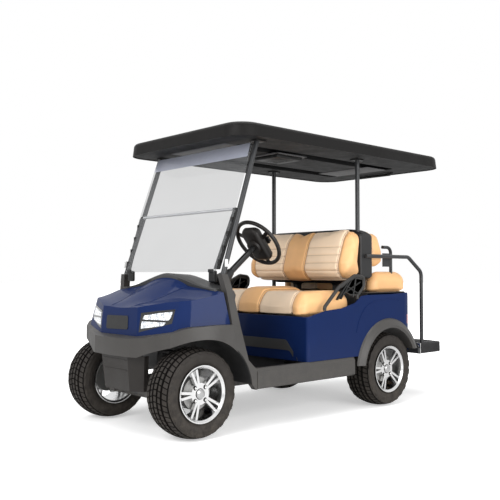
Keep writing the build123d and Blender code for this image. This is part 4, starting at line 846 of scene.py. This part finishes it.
# sewn_panels: where the pale panels, the seams, the stitches and the channels lie
panels, panels_in, panels_out = effect_group(
    "sewn_panels",
    [("Across", FLOAT, 0.0), ("Along", FLOAT, 0.0), ("Level", FLOAT, 0.0), ("Inner", FLOAT, 0.108),
     ("Outer", FLOAT, 0.425), ("Pitch", FLOAT, 0.056), ("Start", FLOAT, 0.0), ("Face", FLOAT, 1.0)],
    [("Pale", FLOAT), ("Crease", FLOAT), ("Stitch", FLOAT)],
)
across, along = panels_in["Across"], panels_in["Along"]
inner, outer = panels_in["Inner"], panels_in["Outer"]
pale_middle = calc(panels, "MULTIPLY", calc(panels, "ADD", inner, outer), 0.5)
pale_half = calc(panels, "MULTIPLY", calc(panels, "SUBTRACT", outer, inner), 0.5)
pale = band(panels, across, pale_middle, pale_half, 0.0008)
seam_away = calc(panels, "ABSOLUTE", calc(
    panels, "SUBTRACT", calc(panels, "ABSOLUTE", calc(panels, "SUBTRACT", across, pale_middle)), pale_half))
seam = band(panels, seam_away, 0.0, 0.0022, 0.0014)
row = band(panels, seam_away, 0.0085, 0.0013, 0.0005)
dash = calc(panels, "GREATER_THAN", calc(panels, "SINE", calc(panels, "MULTIPLY", along, 2 * math.pi / 0.010)), -0.35)
step_from = calc(panels, "SUBTRACT", panels_in["Level"], panels_in["Start"])
channel_away = calc(panels, "PINGPONG", step_from, calc(panels, "MULTIPLY", panels_in["Pitch"], 0.5))
channel = calc(panels, "MULTIPLY", band(panels, channel_away, 0.0, 0.0020, 0.0016), calc(
    panels, "MULTIPLY", pale, panels_in["Face"]))
panels.links.new(pale, panels_out["Pale"])
panels.links.new(calc(panels, "MAXIMUM", seam, calc(panels, "MULTIPLY", channel, 0.8)), panels_out["Crease"])
panels.links.new(calc(panels, "MULTIPLY", row, dash), panels_out["Stitch"])


def vinyl(name, outer_seam, level_axis, channel_from, channel_pitch, channel_count):
    """Sewn vinyl: pale and tan cuts, creased seams and channels painted dark brown as painted shade, brown thread,
    leather grain and soft wrinkles.
    """
    material, tree = empty_material(name)
    place = add_node(tree, "TexCoord")["Object"]
    split = add_node(tree, "SeparateXYZ", {0: place})
    level = split[level_axis]
    span = channel_pitch * (channel_count - 1) / 2
    cuts = use_group(tree, panels, Inner=SEAM_IN, Outer=outer_seam, Pitch=channel_pitch, Start=channel_from,
                     Level=level, Across=calc(tree, "ABSOLUTE", split["Y"]),
                     Along=calc(tree, "SUBTRACT", split["Z"], split["X"]),
                     Face=band(tree, level, channel_from + span, span + 0.01, 0.004))
    tan = use_group(tree, mottle, Colour=(0.82, 0.47, 0.21, 1.0), Scale=7.0, Amount=0.07)
    cream = use_group(tree, mottle, Colour=(0.92, 0.71, 0.51, 1.0), Scale=7.0, Amount=0.05)
    seen = tan["Colour"]
    # The seams and channels are mixed toward dark brown along their creases, as painted shade. The stitches are brown
    # thread.
    for mask, over in ((cuts["Pale"], cream["Colour"]),
                       (calc(tree, "MULTIPLY", cuts["Crease"], 0.62), (0.20, 0.10, 0.045, 1.0)),
                       (cuts["Stitch"], (0.22, 0.12, 0.06, 1.0))):
        seen = add_node(tree, "Mix", {"Factor": mask, "A": seen, "B": over}, data_type="RGBA")["Result"]
    leather = use_group(tree, fine_grain, Scale=520.0, Pebble=0.8)["Height"]
    wrinkle = add_node(tree, "TexNoise", {"Vector": place, "Scale": 26.0, "Detail": 2.0})[0]
    height = calc(tree, "ADD", calc(tree, "MULTIPLY", leather, 0.22), wrinkle)
    height = calc(tree, "SUBTRACT", height, calc(tree, "MULTIPLY", cuts["Crease"], 1.1))
    height = calc(tree, "ADD", height, calc(tree, "MULTIPLY", cuts["Stitch"], 0.5))
    principled(tree, {"Base Color": seen, "Roughness": rough_range(tree, tan["Drift"], 0.36, 0.5),
                      "Normal": bumped(tree, height, 0.6, 0.0016), "Specular IOR Level": 0.42, "Sheen Weight": 0.08,
                      "Sheen Roughness": 0.4})
    return material


def baked(holder, modifier):
    """Applies the live modifier to the mesh and takes it off."""
    bpy.context.view_layer.update()
    seen = holder.evaluated_get(bpy.context.evaluated_depsgraph_get())
    data = bpy.data.meshes.new_from_object(seen)
    holder.modifiers.remove(modifier)
    holder.data = data


def remeshed(name, mesh, voxel, shape):
    """An object of evenly meshed skin, moved into its form."""
    holder = mesh_object(name, mesh)
    voxels = holder.modifiers.new("voxels", "REMESH")
    voxels.mode = "VOXEL"
    voxels.voxel_size = voxel
    baked(holder, voxels)
    for vert in holder.data.vertices:
        vert.co = shape(vert.co.copy())
    return holder


def finished(holder, material, body, node):
    """Gives the object its finish and its body, in place of the plain node."""
    holder.data.shade_smooth()
    holder.data.materials.clear()
    holder.data.materials.append(material)
    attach(holder, body)
    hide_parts(node)


PUFF_FRAMES = 20


def stuffed(name, node, material, body, shape, sew, ease, swell):
    """Foam and cover over a plain solid: eased in, blown up by cloth pressure, then sewn down."""
    cover = joined_mesh(node)
    low, high = ends_of(node)
    middle, size = (low + high) / 2, high - low
    for vert in cover.verts:
        for axis in range(3):
            vert.co[axis] = middle[axis] + (vert.co[axis] - middle[axis]) * (1 - 2 * ease / size[axis])
    holder = remeshed(name, cover, 0.011, shape)
    rest = [vert.co.copy() for vert in holder.data.vertices]
    air = holder.modifiers.new("air", "CLOTH")
    for setting, value in (("quality", 6), ("tension_stiffness", 25), ("compression_stiffness", 25),
                           ("shear_stiffness", 20), ("bending_stiffness", 3), ("use_pressure", True),
                           ("uniform_pressure_force", 4.0)):
        setattr(air.settings, setting, value)
    air.settings.effector_weights.gravity = 0.0
    air.point_cache.frame_start, air.point_cache.frame_end = 1, PUFF_FRAMES
    for moment in range(1, PUFF_FRAMES + 1):
        scene.frame_set(moment)
    baked(holder, air)
    scene.frame_set(1)
    for vert, start in zip(holder.data.vertices, rest):
        moved = vert.co - start
        if moved.length > swell:
            vert.co = start + moved * (swell / moved.length)
    finer = holder.modifiers.new("finer", "SUBSURF")
    finer.levels = finer.render_levels = 1
    baked(holder, finer)
    sewn = bmesh.new()
    sewn.from_mesh(holder.data)
    bmesh.ops.smooth_vert(sewn, verts=sewn.verts, factor=0.5, use_axis_x=True, use_axis_y=True, use_axis_z=True)
    sewn.normal_update()
    for vert in sewn.verts:
        vert.co += vert.normal * sew(vert.co, vert.normal)
    sewn.to_mesh(holder.data)
    sewn.free()
    finished(holder, material, body, node)


def dip(away, width, depth):
    return -depth * math.exp(-(away / width) ** 2)


SEAM_WIDTH, SEAM_DEPTH = 0.010, 0.011
CHANNEL_WIDTH, CHANNEL_DEPTH = 0.0085, 0.0065


def panel_sewing(seam_in, seam_out, channels, axis, looks):
    """How far the cover lies in at its seams and channels and out between them."""
    looks = Vector(looks)

    def sew(place, normal):
        side = abs(place.y)
        lift = dip(side - seam_in, SEAM_WIDTH, SEAM_DEPTH) + dip(side - seam_out, SEAM_WIDTH, SEAM_DEPTH)
        if side < seam_in:
            lift += 0.006 * math.cos(side / seam_in * math.pi / 2)
        elif side > seam_out:
            lift += 0.005 * math.sin(min((side - seam_out) / 0.08, 1.0) * math.pi)
        elif normal.dot(looks) > 0.3:
            inside = min(side - seam_in, seam_out - side)
            nearest = min(abs(place[axis] - line) for line in channels)
            lift += min(inside / 0.02, 1.0) * (dip(nearest, CHANNEL_WIDTH, CHANNEL_DEPTH) + 0.001)
        return lift
    return sew


SEAM_IN, SEAM_OUT, REAR_SEAM = 0.108, 0.425, 0.385
CHANNEL_PITCH = 0.056

front_back_low, front_back_high = ends_of("front_backrest")
rear_back_low, rear_back_high = ends_of("rear_backrest")
seat_low, seat_high = ends_of("front_cushion")
rear_seat_low, rear_seat_high = ends_of("rear_cushion")


def round_end(place, low, high, start, least):
    """Draws a pad's height in towards its ends, so that they finish round."""
    side = abs(place.y)
    if side > start:
        share = (side - start) / (high.y - start)
        middle = (low.z + high.z) / 2
        place.z = middle + (place.z - middle) * (1 - (1 - least) * share ** 2.4)
    return place


def front_back_form(place):
    share = (place.x - front_back_low.x) / (front_back_high.x - front_back_low.x)
    place.x -= share * 0.34 * max(0.0, place.z - 0.99)
    return round_end(place, front_back_low, front_back_high, 0.36, 0.62)


def rear_back_form(place):
    share = (rear_back_high.x - place.x) / (rear_back_high.x - rear_back_low.x)
    place.x += share * 0.30 * max(0.0, place.z - 1.08)
    return round_end(place, rear_back_low, rear_back_high, 0.30, 0.55)


def shell_form(place):
    return round_end(place, front_back_low, front_back_high, 0.34, 0.60)


def seat_form(place):
    top = max(0.0, (place.z - seat_low.z) / (seat_high.z - seat_low.z))
    side = abs(place.y)
    if side < SEAM_IN:
        place.z += top * (0.012 + 0.012 * math.cos(side / SEAM_IN * math.pi / 2))
    elif side < SEAM_OUT:
        place.z -= top * 0.012 * math.sin((side - SEAM_IN) / (SEAM_OUT - SEAM_IN) * math.pi)
    else:
        place.z -= top * 0.030 * ((side - SEAM_OUT) / (seat_high.y - SEAM_OUT)) ** 2
    place.z -= top * 0.9 * max(0.0, place.x - 0.16) ** 2 / 0.106
    return place


def rear_seat_form(place):
    top = max(0.0, (place.z - rear_seat_low.z) / (rear_seat_high.z - rear_seat_low.z))
    if SEAM_IN < abs(place.y) < REAR_SEAM:
        place.z -= top * 0.012
    to_front = max(0.0, place.x - rear_seat_high.x + 0.13) / 0.13
    to_rear = max(0.0, rear_seat_low.x + 0.07 - place.x) / 0.07
    place.z -= top * (0.055 * to_front ** 2 + 0.030 * to_rear ** 2)
    return place


# name, body, form, outer seam, channels (axis, first, count), the way the padded face looks
pads = [
    ("front_backrest", "chassis", front_back_form, SEAM_OUT, ("Z", 0.902, 5), (1.0, 0.0, 0.0)),
    ("rear_backrest", "chassis", rear_back_form, REAR_SEAM, ("Z", 0.986, 4), (-1.0, 0.0, 0.0)),
    ("front_cushion", "front_seat", seat_form, SEAM_OUT, ("X", -0.150, 6), (0.0, 0.0, 1.0)),
    ("rear_cushion", "chassis", rear_seat_form, REAR_SEAM, ("X", -0.900, 5), (0.0, 0.0, 1.0)),
]
for name, body, form, seam_out, (channel_axis, first, count), looks in pads:
    finish = vinyl(name + "_vinyl", seam_out, channel_axis, first, CHANNEL_PITCH, count)
    lines = [first + CHANNEL_PITCH * index for index in range(count)]
    axis = "XYZ".index(channel_axis)
    stuffed(name + "_cover", name, finish, body, form, panel_sewing(SEAM_IN, seam_out, lines, axis, looks),
            ease=0.012, swell=0.018)

# The black moulded shell between the two backs, drawn in at its ends as they are.
shell = remeshed("back_shell_cover", joined_mesh("back_shell"), 0.010, shell_form)
finished(shell, black_moulding, "chassis", "back_shell")
